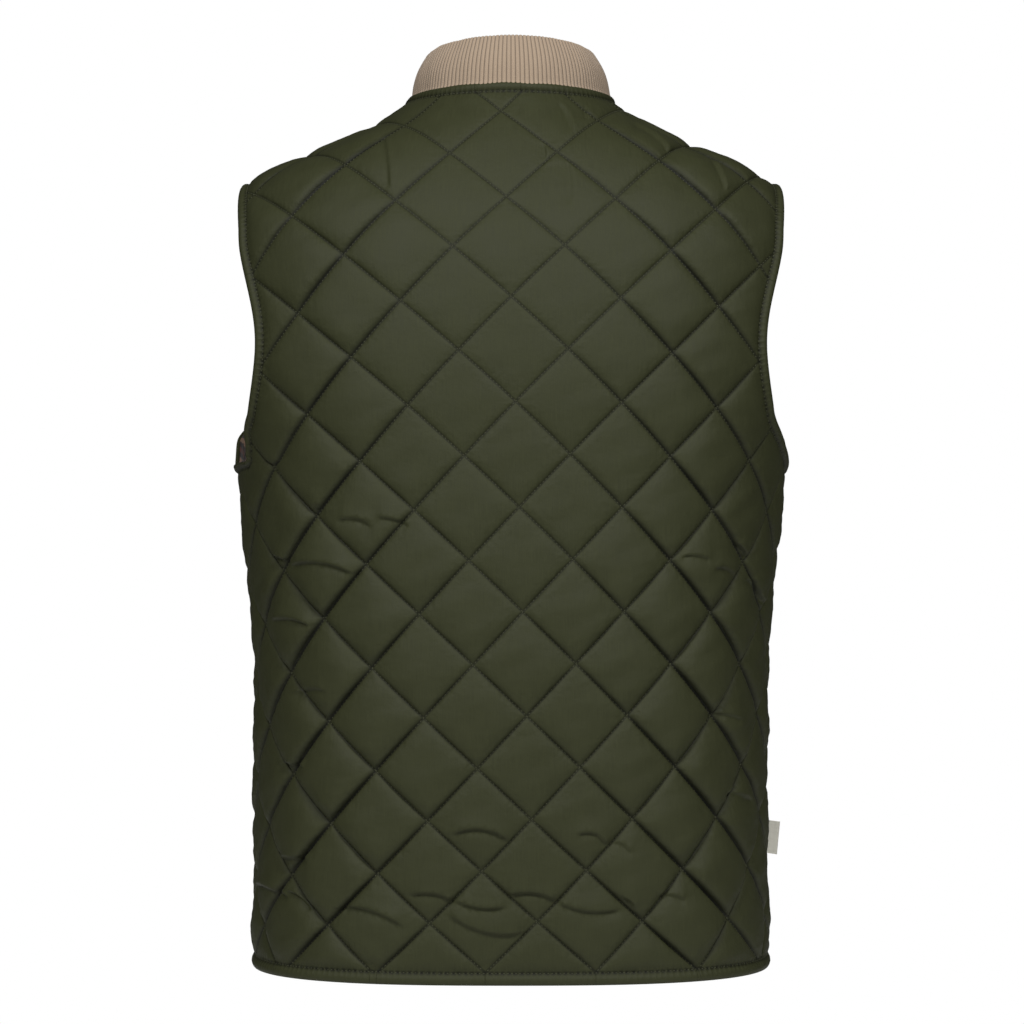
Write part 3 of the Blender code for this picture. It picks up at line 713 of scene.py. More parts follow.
def faceOut(bm, outward):  # turns the faces to the side that shows; outward is by vertex index
    bm.normal_update()
    sample = list(bm.faces)[::max(1, len(bm.faces) // facingSample)]
    if sum(f.normal.dot(Vector(outward[f.verts[0].index])) for f in sample) < 0:
        bmesh.ops.reverse_faces(bm, faces=bm.faces[:])
    for f in bm.faces:
        f.smooth = True


def setUv(bm, name, values):
    layer = bm.loops.layers.uv.new(name)
    values = values.tolist()
    for f in bm.faces:
        for loop in f.loops:
            loop[layer].uv = values[loop.vert.index]


def quiltedPanel(cut, lay):
    bm, layers, rowOf = quiltSheet(cut, lay)
    p, q, s, t = (np.array([v[layers[key]] for v in bm.verts]) for key in ("p", "q", "s", "t"))
    row = np.array([v[rowOf] for v in bm.verts])
    flat = np.stack([s, t], axis=1)
    foot, tableRow, onWelt, grown = flat.copy(), np.zeros((len(p), 3)), row > 0, row != 0
    tableRow[onWelt] = np.array(weltRows)[row[onWelt] - 1]
    tableRow[row < 0] = np.array(seamRows)[-row[row < 0] - 1]
    levels, feet, _ = edgeLevels(cut, flat[onWelt])
    foot[onWelt] = nearestEdge(levels, feet, [name for name in levels if weltOf(name)])
    for spot, tip in cornerSpots(cut):
        foot[onWelt & (np.linalg.norm(flat - spot, axis=1) < 1e-5)] = tip
    where = flat + (foot - flat) * tableRow[:, :1]
    rooms = roomTo(cut, flat)
    angle, up = onForm(cut, where)
    atEdge = np.min(list(rooms.values()), axis=0) < quilt["seamReach"]
    angle[atEdge], up[atEdge] = triangleMap(cut, where[atEdge])  # edges meet exactly
    place, outward, rising = formFrame(angle, up)
    lift, drop = clothShape(p, q, flat, place, rooms)
    lift[grown] = tableRow[grown, 2]
    drop[grown] = 0
    place = place + outward * lift[:, None] - rising * drop[:, None]
    sideways = unit(formPoint(*onForm(cut, foot[onWelt])) - formPoint(*onForm(cut, flat[onWelt])))
    place[onWelt] += sideways * tableRow[onWelt, 1:2]
    onSeam = row < 0
    levels, _, inwards = edgeLevels(cut, flat[onSeam])
    seams = [name for name in levels if not weltOf(name)]
    within = flat[onSeam] + quilt["seamReach"] * nearestEdge(levels, inwards, seams)
    sideways = unit(formPoint(*onForm(cut, flat[onSeam])) - formPoint(*onForm(cut, within)))
    place[onSeam] += sideways * tableRow[onSeam, 1:2]  # seam allowances tuck under each other
    bm.verts.index_update()
    setPlaces(bm, place)
    faceOut(bm, outward)
    pq = np.stack([p, q], axis=1)
    pq[grown] = np.floor(pq[grown]) + 0.5  # no quilting on the turned edges
    edge = alongEdges(cut, flat, rooms)
    edge[onWelt, 0] = np.linalg.norm(where - flat, axis=1)[onWelt]
    setUv(bm, "cloth", where)
    setUv(bm, "quilt", pq)
    setUv(bm, "edge", edge)
    return finished(bm, "quilted_" + cut["name"])


def finished(bm, name):
    mesh = bpy.data.meshes.new(name)
    bm.to_mesh(mesh)
    bm.free()
    piece = bpy.data.objects.new(name, mesh)
    bpy.context.scene.collection.objects.link(piece)
    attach(piece, "vest")
    mesh.calc_loop_triangles()
    print("made", name, len(mesh.loop_triangles), "triangles")
    return piece


def mirrored(cut, name):  # the other front is cut from the same pattern, turned over
    return dict(cut, name=name, angle=-cut["angle"], angleAt=lambda share, up: -cut["angleAt"](share, up))


cuts = dict(back=cutPattern("back", backAngle), front_left=cutPattern("front_left", frontAngle(-1)))
cuts["front_right"] = mirrored(cuts["front_left"], "front_right")
for cut in cuts.values():
    addRaster(cut)
lays = dict(back=backQuilt, front_left=frontQuilt, front_right=frontQuilt)
quilted = {name: quiltedPanel(cut, lays[name]) for name, cut in cuts.items()}


# sewing thread: one short arched stitch after another
stitch = dict(pitch=0.0029, length=0.0018, radius=0.00028, rise=0.00022, sink=0.00045, perCell=60,
              clear=0.0010, lines=14, overEdge=0.0004, fewest=3)
stitchAlong = np.array([-0.5, -0.22, 0.22, 0.5])
stitchTaper = np.array([0.45, 1, 1, 0.45])
stitchArc = np.radians([-25, 30, 90, 150, 205])


def keptRuns(keep):  # first and last index of each unbroken stretch
    steps = np.flatnonzero(np.diff(np.concatenate([[0], keep.astype(int), [0]])))
    return [(a, b) for a, b in zip(steps[::2], steps[1::2]) if b - a > stitch["fewest"]]


def stitchSpots(line):  # four stations on each stitch along a line of p, q, s, t
    run = np.concatenate([[0], np.cumsum(np.linalg.norm(np.diff(line[:, 2:], axis=0), axis=1))])
    centres = (np.arange(int(run[-1] / stitch["pitch"])) + 0.5) * stitch["pitch"]
    at = (centres[:, None] + stitchAlong * stitch["length"]).ravel()
    return np.stack([np.interp(at, run, line[:, k]) for k in range(4)], axis=1)


def quiltStitches(cut, lay):
    along = np.arange(-stitch["lines"], stitch["lines"], 1 / stitch["perCell"])
    spots = []
    for fixed in range(-stitch["lines"], stitch["lines"] + 1):
        still = np.full(len(along), float(fixed))
        for p, q in ((still, along), (along, still)):
            flat = latticePlace(lay, p, q)
            keep = (np.abs(p + q) <= quilt["widest"]) & insideOutline(cut, flat)
            keep &= np.min(list(roomTo(cut, flat).values()), axis=0) > stitch["clear"]
            line = np.concatenate([p[:, None], q[:, None], flat], axis=1)
            spots += [stitchSpots(line[a:b]) for a, b in keptRuns(keep)]
    return np.concatenate(spots)


def edgeStitches(cut):
    spots = []
    for name, dense in cut["dense"].items():
        if weltOf(name):
            run = unit(np.gradient(dense, axis=0))
            flat = dense + np.stack([-run[:, 1], run[:, 0]], axis=1) * weltOf(name)
            rooms = roomTo(cut, flat)
            keep = np.min([room for key, room in rooms.items() if key != name], axis=0) > -stitch["overEdge"]
            line = np.concatenate([np.zeros_like(flat), flat], axis=1)
            spots += [stitchSpots(line[a:b]) for a, b in keptRuns(keep)]
    return np.concatenate(spots)


def sewn(cut, lay):
    quilting, edging = quiltStitches(cut, lay), edgeStitches(cut)
    p, q, s, t = np.concatenate([quilting, edging]).T
    flat = np.stack([s, t], axis=1)
    place, outward, _ = formFrame(*onForm(cut, flat))
    lift, _ = clothShape(p, q, flat, place, roomTo(cut, flat))
    lift[len(quilting):] = welt["sunk"]
    count = len(p) // 4
    lift += np.tile([-stitch["sink"], stitch["rise"], stitch["rise"], -stitch["sink"]], count)
    place = place + outward * lift[:, None]
    ahead = np.repeat(unit(place[3::4] - place[0::4]), 4, axis=0)
    aside = unit(np.cross(ahead, outward))
    radius = np.tile(stitchTaper, count)[:, None, None] * stitch["radius"]
    across, over = np.cos(stitchArc)[None, :, None], np.sin(stitchArc)[None, :, None]
    arc = aside[:, None] * across + outward[:, None] * over
    bm, station, ring = gridOf(len(p), len(stitchArc))
    setPlaces(bm, (place[:, None] + arc * radius)[station, ring])
    between = [f for f in bm.faces if min(station[v.index] for v in f.verts) % 4 == 3]
    bmesh.ops.delete(bm, geom=between, context="FACES")
    faceOut(bm, outward[station])
    return finished(bm, "stitching_" + cut["name"])


threads = {name: sewn(cut, lays[name]) for name, cut in cuts.items()}

# lining: the checked side that faces in
lining = dict(depth=0.0064, edgeDepth=0.0037, edgeReach=0.004, wrinkle=0.0007, wrinkleShift=0.8,
              fineShare=0.6, columns=130, rows=190, crowd=0.8)


def evenWithEdges(count):  # even shares, with closer ones at both ends
    x = np.linspace(0, 1, count)
    return x - lining["crowd"] / (2 * np.pi) * np.sin(2 * np.pi * x)


def liningRows():  # closer together at the hem, round the underarm and at the neck
    underarm, tip = upTo["underarm"], upTo["shoulderTip"]
    count = lining["rows"] // 3
    body = underarm * evenWithEdges(count)[:-1]
    side = underarm + (tip - underarm) * evenWithEdges(count)[:-1]
    yoke = tip + (ringUp[-1] - tip) * evenWithEdges(lining["rows"] - 2 * count + 2)
    return np.concatenate([body, side, yoke])


def liningPanel(cut):
    bm, column, row = gridOf(lining["columns"], lining["rows"])
    shares = evenWithEdges(lining["columns"])
    ups = liningRows()
    angle, up = cut["angleAt"](shares[column], ups[row]), ups[row]
    place, outward, _ = formFrame(angle, up)
    low = np.interp(ups, cut["ups"], np.arange(len(cut["ups"])))
    across = np.interp(shares, cut["shares"], np.arange(len(cut["shares"])))
    i = np.minimum(low.astype(int), len(cut["ups"]) - 2)[row]
    j = np.minimum(across.astype(int), len(cut["shares"]) - 2)[column]
    flat = between(cut["flatGrid"], i, j, (low[row] - i)[:, None], (across[column] - j)[:, None])
    crumple = wander("crumple", angle, up) + lining["fineShare"] * wander("fineCrumple", angle, up)
    # bagged out, so it lies close under the turned edges
    rooms = [level + weltOf(key) for key, level in roomTo(cut, flat).items() if weltOf(key)]
    atEdge = np.exp(-np.maximum(np.min(rooms, axis=0), 0) / lining["edgeReach"])
    depth = lining["depth"] + lining["wrinkle"] * (lining["wrinkleShift"] + crumple)
    depth = depth * (1 - atEdge) + lining["edgeDepth"] * atEdge
    setPlaces(bm, place - outward * depth[:, None])
    faceOut(bm, -outward)
    setUv(bm, "cloth", flat)
    return finished(bm, "checked_" + cut["name"])


linings = {name: liningPanel(cut) for name, cut in cuts.items()}

# rib collar: up the outside, over the fold and down the inside
collar = dict(ribs=144, ribHeight=0.00075, ribPower=3.2, ribUneven=0.15, wall=0.0036, halfWidth=0.0640,
              backY=-0.064, sideY=0.001, frontY=0.058, backZ=0.0330, sideZ=0.0222, frontZ=-0.042,
              bulge=0.0024, tuck=0.005, outerRows=22, foldRows=7, innerRows=11, endRound=0.003,
              endLeast=0.01, waver=0.0004, measured=2001, shareStep=0.01, turnStep=0.004, foldRun=0.1,
              seamAllowance=0.016)
ribSteps = np.array([0.0, 0.06, 0.17, 0.36, 0.64, 0.83, 0.94])


def collarTop(angle):
    along = np.cos(angle)
    rise = collar["backZ"] - collar["sideZ"]
    fall = np.where(along > 0, 0, collar["frontZ"] + collar["backZ"] - 2 * collar["sideZ"])
    endY = np.where(along > 0, collar["backY"], collar["frontY"])
    y = collar["sideY"] + (endY - collar["sideY"]) * np.abs(along)
    z = collar["sideZ"] + rise * along + fall * along**2  # the front ends drop further
    return np.stack([collar["halfWidth"] * np.sin(angle), y, z], axis=-1)


def collarMiddle(angle, share):  # middle of the collar's wall, from 0 at the neck seam to 1 at the top
    neck = formPoint(angle, np.full_like(angle, ringUp[-1]))
    place = neck + (collarTop(angle) - neck) * share[..., None]
    flatOut = unit(place * [1, 1, 0])
    bulge = collar["bulge"] * np.sin(np.pi * np.clip(share, 0, 1))
    return place + flatOut * (bulge - collar["wall"] / 2)[..., None]


def ribCollar():
    end = np.pi - math.asin(form["zipHalf"] / rings["neck"][0])
    fine = np.linspace(-end, end, collar["measured"])
    run = np.linalg.norm(np.diff(collarMiddle(fine, np.full(len(fine), 0.5)), axis=0), axis=1)
    run = np.concatenate([[0], np.cumsum(run)])
    ribAt = np.concatenate([(np.arange(collar["ribs"])[:, None] + ribSteps).ravel(), [collar["ribs"]]])
    angles = np.interp(ribAt / collar["ribs"] * run[-1], run, fine)
    toEnd = np.minimum(ribAt, collar["ribs"] - ribAt) / collar["ribs"] * run[-1]
    tall = float(np.linalg.norm(collarTop(np.array([0.0])) - formPoint(np.array([0.0]), ringUp[-1:])))
    tuck = -collar["tuck"] / tall
    outer = np.linspace(tuck, 1, collar["outerRows"])
    inner = np.linspace(1, tuck, collar["innerRows"] + 1)[1:]
    turn = np.linspace(0, np.pi, collar["foldRows"] + 2)[1:-1]
    shares = np.concatenate([outer, np.ones(len(turn) + 1), inner[1:]])
    turns = np.concatenate([np.zeros(len(outer)), turn, np.full(len(inner), np.pi)])
    bm, column, row = gridOf(len(angles), len(shares))
    angle, share, roll = angles[column], shares[row], turns[row]
    middle = collarMiddle(angle, share)
    step, turnStep = collar["shareStep"], collar["turnStep"]
    rise = unit(collarMiddle(angle, share + step) - collarMiddle(angle, share - step))
    around = unit(collarMiddle(angle + turnStep, share) - collarMiddle(angle - turnStep, share))
    out = unit(np.cross(around, rise))
    facing = out * np.cos(roll)[:, None] + rise * np.sin(roll)[:, None]
    inRib = ribAt[column] - np.floor(ribAt[column])
    rib = 1 - np.abs(2 * inRib - 1) ** collar["ribPower"]
    uneven = 1 + collar["ribUneven"] * wander("ribs", ribAt[column], share)
    half = collar["wall"] / 2 * np.sqrt(np.clip(toEnd[column] / collar["endRound"], collar["endLeast"], 1))
    thick = half + collar["ribHeight"] * (rib * uneven - 1)
    waver = collar["waver"] * wander("collar", angle, share)
    setPlaces(bm, middle + facing * thick[:, None] + out * waver[:, None])
    faceOut(bm, facing)
    inside = (roll > 3) * 2 * (1 - share)  # the run of the knit goes on past the fold
    along = (share + roll / np.pi * collar["foldRun"] + inside) * tall
    setUv(bm, "knit", np.stack([ribAt[column], along], axis=1))
    return finished(bm, "rib_collar"), float(run[-1]), tall


collarPiece, collarRound, collarTall = ribCollar()

# zip: tapes under the front edges, and two rows of teeth that mesh
zipper = dict(tapeFrom=0.0013, tapeTo=0.0150, tapeDepth=0.0033, underDepth=0.0050, underAt=0.0103,
              underEase=0.0008, tapeRows=150, tapeColumns=14, tapeEnd=0.0005, chainEnd=0.001, tapeSpare=1.02,
              toothPitch=0.0026, toothLong=0.0034, toothThick=0.00118, toothDeep=0.0024, toothAcross=0.0005,
              toothDepth=0.0020, toothEdge=0.00028)
frontZ = formPoint(np.full(len(fineUp), np.pi), fineUp)[:, 2]


def frontUp(z):  # height up the cloth at the centre front
    return np.interp(z, frontZ, fineUp)


def zipTape(side, node):
    low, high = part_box(node)
    bm, column, row = gridOf(zipper["tapeColumns"], zipper["tapeRows"])
    x = np.linspace(zipper["tapeFrom"], zipper["tapeTo"], zipper["tapeColumns"])[column]
    ends = frontUp(low[2] + zipper["tapeEnd"]), frontUp(high[2] - zipper["tapeEnd"])
    up = np.linspace(*ends, zipper["tapeRows"])[row]
    angle = side * (np.pi - np.arcsin(x / sizeAt("halfWidth", up)))
    place, outward, _ = formFrame(angle, up)
    under = smoothStep((x - zipper["underAt"]) / zipper["underEase"] + 0.5)
    depth = zipper["tapeDepth"] + (zipper["underDepth"] - zipper["tapeDepth"]) * under
    setPlaces(bm, place - outward * depth[:, None])
    faceOut(bm, outward)
    setUv(bm, "cloth", np.stack([x, up], axis=1))
    return finished(bm, node.replace("zip_tape", "woven_tape"))


def zipTeeth():
    low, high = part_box("zip_chain")
    start, end = frontUp(low[2] + zipper["chainEnd"]), frontUp(high[2] - zipper["chainEnd"])
    bm = bmesh.new()
    bmesh.ops.create_cube(bm, size=1)
    bmesh.ops.scale(bm, vec=(zipper["toothLong"], zipper["toothThick"], zipper["toothDeep"]), verts=bm.verts)
    bmesh.ops.bevel(bm, geom=bm.edges[:], affect="EDGES", offset=zipper["toothEdge"], segments=1,
                    profile=0.5, material=-1)
    tooth = bpy.data.meshes.new("tooth")
    bm.to_mesh(tooth)
    bm.free()
    count = int((end - start) / zipper["toothPitch"] * 2)
    up = np.linspace(start, end, count)
    place, outward, rising = formFrame(np.full(count, np.pi), up)
    bm = bmesh.new()
    for k in range(count):
        side = 1 if k % 2 else -1
        across = Vector((side * (zipper["toothLong"] / 2 - zipper["toothAcross"]), 0, 0))
        spot = Vector(place[k]) - Vector(outward[k]) * zipper["toothDepth"] + across
        axes = Matrix((Vector((1, 0, 0)), Vector(rising[k]), Vector(outward[k]))).transposed().to_4x4()
        move = Matrix.Translation(spot) @ axes
        tooth.transform(move)
        bm.from_mesh(tooth)
        tooth.transform(move.inverted())
    bmesh.ops.recalc_face_normals(bm, faces=bm.faces)
    return finished(bm, "zip_teeth")


tapes = {node: zipTape(side, node) for side, node in ((-1, "zip_tape_left"), (1, "zip_tape_right"))}
teeth = zipTeeth()

# bare label: one strip folded in half at its outer edge, both ends in the side seam
label = dict(columns=25, rows=15, gap=0.0008, foldSharp=12, curl=0.0012, curlTurn=2.2, droop=0.0016,
             narrow=0.25, caught=0.003, flat=(0.024, 0.026))


def foldedLabel():
    low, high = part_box("side_label")
    bm, column, row = gridOf(label["columns"], label["rows"])
    share, down = column / (label["columns"] - 1) * 2 - 1, 1 - row / (label["rows"] - 1)
    reach = 1 - np.abs(share)
    wide = (high[0] - low[0]) * (1 - label["narrow"] * down)
    x = low[0] - label["caught"] + (wide + label["caught"]) * reach
    apart = np.minimum(1, np.abs(share) * label["foldSharp"]) ** 0.5
    y = np.sign(share) * label["gap"] / 2 * apart + label["curl"] * reach * np.sin(down * label["curlTurn"])
    z = high[2] - down * (high[2] - low[2] - label["droop"]) - label["droop"] * reach
    setPlaces(bm, np.stack([x, y, z], axis=1))
    faceOut(bm, np.stack([np.zeros_like(x), np.sign(share), np.zeros_like(x)], axis=1))
    setUv(bm, "cloth", np.stack([share * (high[0] - low[0]), -down * (high[2] - low[2])], axis=1))
    return finished(bm, "bare_label")


labelPiece = foldedLabel()
print("pieces modelled")


# materials
def put(tree, socket, value):
    if isinstance(value, bpy.types.NodeSocket):
        tree.links.new(value, socket)
    else:
        socket.default_value = value


def add(tree, kind, settings=None, **inputs):  # a node, its settings, and its inputs by name
    node = tree.nodes.new("ShaderNode" + kind)
    for key, value in (settings or {}).items():
        setattr(node, key, value)
    for key, value in inputs.items():
        put(tree, node.inputs[key.replace("_", " ")], value)
    return node


def maths(tree, operation, *values):
    node = add(tree, "Math", dict(operation=operation))
    for socket, value in zip(node.inputs, values):
        put(tree, socket, value)
    return node.outputs[0]


def times(tree, a, b):
    return maths(tree, "MULTIPLY", a, b)


def plus(tree, a, b):
    return maths(tree, "ADD", a, b)


def ridges(tree, value, pace):
    return maths(tree, "ABSOLUTE", maths(tree, "SINE", times(tree, value, pace)))


def uvOf(tree, name):
    return add(tree, "UVMap", dict(uv_map=name)).outputs[0]


def axesOf(tree, vector):
    return add(tree, "SeparateXYZ", Vector=vector).outputs


def objectPlace(tree):
    return add(tree, "TexCoord").outputs["Object"]


def noise(tree, vector, scale, detail=2.0):
    return add(tree, "TexNoise", Vector=vector, Scale=scale, Detail=detail).outputs["Fac"]


def scaled(tree, vector, x, y):
    return add(tree, "Mapping", Vector=vector, Scale=(x, y, 1.0)).outputs[0]


def blend(tree, share, a, b, kind="MIX"):
    node = add(tree, "Mix", dict(data_type="RGBA", blend_type=kind))
    put(tree, node.inputs["Factor"], share)
    put(tree, node.inputs["A"], a)
    put(tree, node.inputs["B"], b)
    return node.outputs["Result"]


def spread(tree, value, low, high, toLow=0.0, toHigh=1.0):
    node = add(tree, "MapRange", Value=value)
    for key, number in (("From Min", low), ("From Max", high), ("To Min", toLow), ("To Max", toHigh)):
        node.inputs[key].default_value = number
    return node.outputs[0]


def newMaterial(name, **values):
    made = bpy.data.materials.new(name)
    made.use_nodes = True
    shader = made.node_tree.nodes["Principled BSDF"]
    for key, value in values.items():
        shader.inputs[key.replace("_", " ")].default_value = value
    return made, made.node_tree, shader


def bumpOn(tree, shader, height, distance, strength=1.0):
    bump = add(tree, "Bump", Height=height, Distance=distance, Strength=strength)
    tree.links.new(bump.outputs[0], shader.inputs["Normal"])


def newGroup(name, inputs, outputs):
    tree = bpy.data.node_groups.new(name, "ShaderNodeTree")
    for key, kind in inputs:
        tree.interface.new_socket(key, in_out="INPUT", socket_type="NodeSocket" + kind)
    for key, kind in outputs:
        tree.interface.new_socket(key, in_out="OUTPUT", socket_type="NodeSocket" + kind)
    return tree, tree.nodes.new("NodeGroupInput").outputs, tree.nodes.new("NodeGroupOutput").inputs


def useGroup(tree, group, **inputs):
    node = add(tree, "Group", dict(node_tree=group), **inputs)
    return node.outputs


def weaveGroup():  # plain weave: over and under threads, and how each thread differs
    inputs = [("Vector", "Vector"), ("Threads", "Float")]
    tree, given, made = newGroup("plainWeave", inputs, [("Height", "Float"), ("Shade", "Float")])
    parts = axesOf(tree, given["Vector"])
    s, t = (times(tree, parts[k], given["Threads"]) for k in range(2))
    warp, weft = ridges(tree, s, math.pi), ridges(tree, t, math.pi)
    sn, tn = maths(tree, "FLOOR", s), maths(tree, "FLOOR", t)
    over = maths(tree, "FLOORED_MODULO", plus(tree, sn, tn), 2.0)
    under = maths(tree, "SUBTRACT", 1.0, over)
    put(tree, made["Height"], plus(tree, times(tree, warp, over), times(tree, weft, under)))
    thread = add(tree, "CombineXYZ", X=times(tree, sn, over), Y=times(tree, tn, under)).outputs[0]
    shade = add(tree, "TexWhiteNoise", dict(noise_dimensions="2D"), Vector=thread)
    put(tree, made["Shade"], shade.outputs["Value"])
    return tree


weave = weaveGroup()
# the groove colour is painted shade, used below and along the stitch lines and in the edge notches
olive = dict(dark=(0.0228, 0.0248, 0.0100, 1), light=(0.0298, 0.0324, 0.0134, 1),
             painted_groove_shade=(0.0030, 0.0034, 0.0015, 1), threads=3400.0, notchPitch=0.0045)


def oliveCloth():
    made, tree, shader = newMaterial("olive_taffeta", Roughness=0.6, Specular_IOR_Level=0.15)
    cloth = uvOf(tree, "cloth")
    lattice = axesOf(tree, uvOf(tree, "quilt"))
    edge = axesOf(tree, uvOf(tree, "edge"))
    where = axesOf(tree, objectPlace(tree))
    toLine = maths(tree, "MINIMUM", *(maths(tree, "PINGPONG", lattice[k], 0.5) for k in range(2)))
    streak = noise(tree, scaled(tree, cloth, 1700, 60), 1.0, 3.0)
    patch = noise(tree, cloth, 45.0, 3.0)
    threads = useGroup(tree, weave, Vector=cloth, Threads=olive["threads"])
    tone = plus(tree, times(tree, streak, 0.7), times(tree, patch, 0.3))
    colour = blend(tree, spread(tree, tone, 0.32, 0.68), olive["dark"], olive["light"])
    colour = blend(tree, times(tree, threads["Shade"], 0.12), colour, olive["light"])
    # painted shade: on the outer parts of the back the cloth below a stitch line is painted darker, standing
    # in for the shade of the slack pillows
    aside = spread(tree, maths(tree, "ABSOLUTE", where[0]), 0.14, 0.19, 1.0, 0.4)
    behind = times(tree, spread(tree, where[1], -0.03, 0.0, 1.0, 0.0), aside)
    paintedShadeUnderP = spread(tree, maths(tree, "FRACT", lattice[0]), 0.010, 0.090, 0.92, 0.0)
    paintedShadeUnderQ = spread(tree, maths(tree, "FRACT", lattice[1]), 0.910, 0.990, 0.0, 0.92)
    shadedP = times(tree, maths(tree, "POWER", paintedShadeUnderP, 1.6), spread(tree, where[0], 0.02, 0.12))
    shadedQ = times(tree, maths(tree, "POWER", paintedShadeUnderQ, 1.6), spread(tree, where[0], -0.12, -0.02, 1.0, 0.0))
    shaded = maths(tree, "MAXIMUM", shadedP, shadedQ)
    colour = blend(tree, times(tree, shaded, behind), colour, olive["painted_groove_shade"])
    # painted shade: the cloth is painted darker close to every stitch line, as if in the shade of the
    # stitched groove
    colour = blend(tree, spread(tree, toLine, 0.008, 0.028, 0.62, 0.0), colour, olive["painted_groove_shade"])
    # painted shade: dark notches along the topstitching of the turned edges, standing in for the shade of the
    # sunk stitches; the same notches also gather the bump
    notch = ridges(tree, edge[1], math.pi / olive["notchPitch"])
    atEdge = spread(tree, edge[0], 0.0003, 0.0020, 1.0, 0.0)
    paintedNotchShade = times(tree, atEdge, spread(tree, notch, 0.2, 0.9, 0.25, 0.85))
    colour = blend(tree, paintedNotchShade, colour, olive["painted_groove_shade"])
    put(tree, shader.inputs["Base Color"], colour)
    put(tree, shader.inputs["Roughness"], spread(tree, plus(tree, streak, patch), 0.6, 1.4, 0.56, 0.68))
    nearLine = spread(tree, toLine, 0.01, 0.17, 1.0, 0.0)
    crinkle = times(tree, noise(tree, cloth, 260.0, 2.0), plus(tree, times(tree, nearLine, 0.9), 0.25))
    gather = times(tree, notch, spread(tree, edge[0], 0.0, 0.0075, -0.5, 0.0))
    fine = plus(tree, times(tree, threads["Height"], 0.02), times(tree, streak, 0.09))
    bumpOn(tree, shader, plus(tree, plus(tree, crinkle, gather), fine), 0.0008, 0.8)
    return made


# shade and loop are the painted shade and the painted lighter crests of the knit's loops
knit = dict(courses=620.0, slant=-1.3, shade=(0.26, 0.188, 0.130, 1), loop=(0.34, 0.270, 0.198, 1),
            fuzz=(0.36, 0.292, 0.218, 1), painted_groove_shade=(0.070, 0.050, 0.034, 1))


def ribKnit():
    made, tree, shader = newMaterial("tan_rib", Roughness=0.9, Sheen_Weight=0.25, Sheen_Roughness=0.5,
                                     Specular_IOR_Level=0.25)
    parts = axesOf(tree, uvOf(tree, "knit"))
    inRib = maths(tree, "PINGPONG", parts[0], 0.5)
    course = plus(tree, times(tree, parts[1], knit["courses"]), times(tree, inRib, knit["slant"]))
    loop = ridges(tree, course, math.pi)
    painted_groove_shade = spread(tree, inRib, 0.0, 0.16, 1.0, 0.0)
    fuzz = noise(tree, objectPlace(tree), 1400.0, 3.0)
    # painted light and shade of the knit: the loop crests are painted lighter than the cloth between them
    colour = blend(tree, times(tree, loop, 0.2), knit["shade"], knit["loop"])
    colour = blend(tree, spread(tree, fuzz, 0.3, 0.7, 0.1, 0.35), colour, knit["fuzz"])
    # painted shade in the recesses between the ribs
    colour = blend(tree, times(tree, painted_groove_shade, 0.85), colour, knit["painted_groove_shade"])
    put(tree, shader.inputs["Base Color"], colour)
    bumpOn(tree, shader, plus(tree, loop, times(tree, fuzz, 0.6)), 0.00022, 0.5)
    return made


check = dict(threads=900.0, dark=(0.012, 0.009, 0.008, 1), tan=(0.21, 0.125, 0.075, 1),
             rust=(0.085, 0.026, 0.017, 1), fuzz=(0.05, 0.033, 0.023, 1))


def firstOf(tree, index, count, group):  # 1 for the first few threads of each group
    return maths(tree, "LESS_THAN", maths(tree, "FLOORED_MODULO", index, group), count)


def yarns(tree, index):  # four dark, four tan, and rust in every third group
    ground = blend(tree, firstOf(tree, index, 4.0, 8.0), check["dark"], check["tan"])
    return blend(tree, firstOf(tree, index, 4.0, 24.0), ground, check["rust"])


def checkLining():  # small two-and-two twill check with a rust overcheck
    made, tree, shader = newMaterial("checked_lining", Roughness=0.85, Sheen_Weight=0.2,
                                     Specular_IOR_Level=0.3)
    cloth = uvOf(tree, "cloth")
    parts = axesOf(tree, cloth)
    s, t = (times(tree, parts[k], check["threads"]) for k in range(2))
    sn, tn = maths(tree, "FLOOR", s), maths(tree, "FLOOR", t)
    over = firstOf(tree, plus(tree, sn, tn), 2.0, 4.0)
    colour = blend(tree, over, yarns(tree, tn), yarns(tree, sn))
    fuzz = noise(tree, cloth, 2400.0, 2.0)
    colour = blend(tree, spread(tree, fuzz, 0.35, 0.75, 0.0, 0.4), colour, check["fuzz"])
    put(tree, shader.inputs["Base Color"], colour)
    slope = maths(tree, "SINE", times(tree, plus(tree, s, t), math.pi / 2))
    bumpOn(tree, shader, plus(tree, slope, fuzz), 0.0003, 0.5)
    return made


def wovenMaterial(name, dark, light, threads):
    made, tree, shader = newMaterial(name, Roughness=0.8, Specular_IOR_Level=0.3, Sheen_Weight=0.1)
    parts = useGroup(tree, weave, Vector=uvOf(tree, "cloth"), Threads=threads)
    # colour: half painted light and shade of the weave, each thread's crest lighter than its edges, and half
    # the random tone of each thread
    tone = plus(tree, times(tree, parts["Height"], 0.5), times(tree, parts["Shade"], 0.5))
    put(tree, shader.inputs["Base Color"], blend(tree, tone, dark, light))
    bumpOn(tree, shader, parts["Height"], 0.0003, 0.6)
    return made


sewing = dict(dark=(0.030, 0.032, 0.015, 1), light=(0.062, 0.065, 0.036, 1))


def sewingThread():
    made, tree, shader = newMaterial("olive_thread", Roughness=0.6, Specular_IOR_Level=0.2)
    twist = noise(tree, objectPlace(tree), 2600.0, 1.0)
    colour = blend(tree, spread(tree, twist, 0.3, 0.7), sewing["dark"], sewing["light"])
    put(tree, shader.inputs["Base Color"], colour)
    return made


metal = dict(dark=(0.10, 0.085, 0.065, 1), worn=(0.26, 0.21, 0.15, 1))


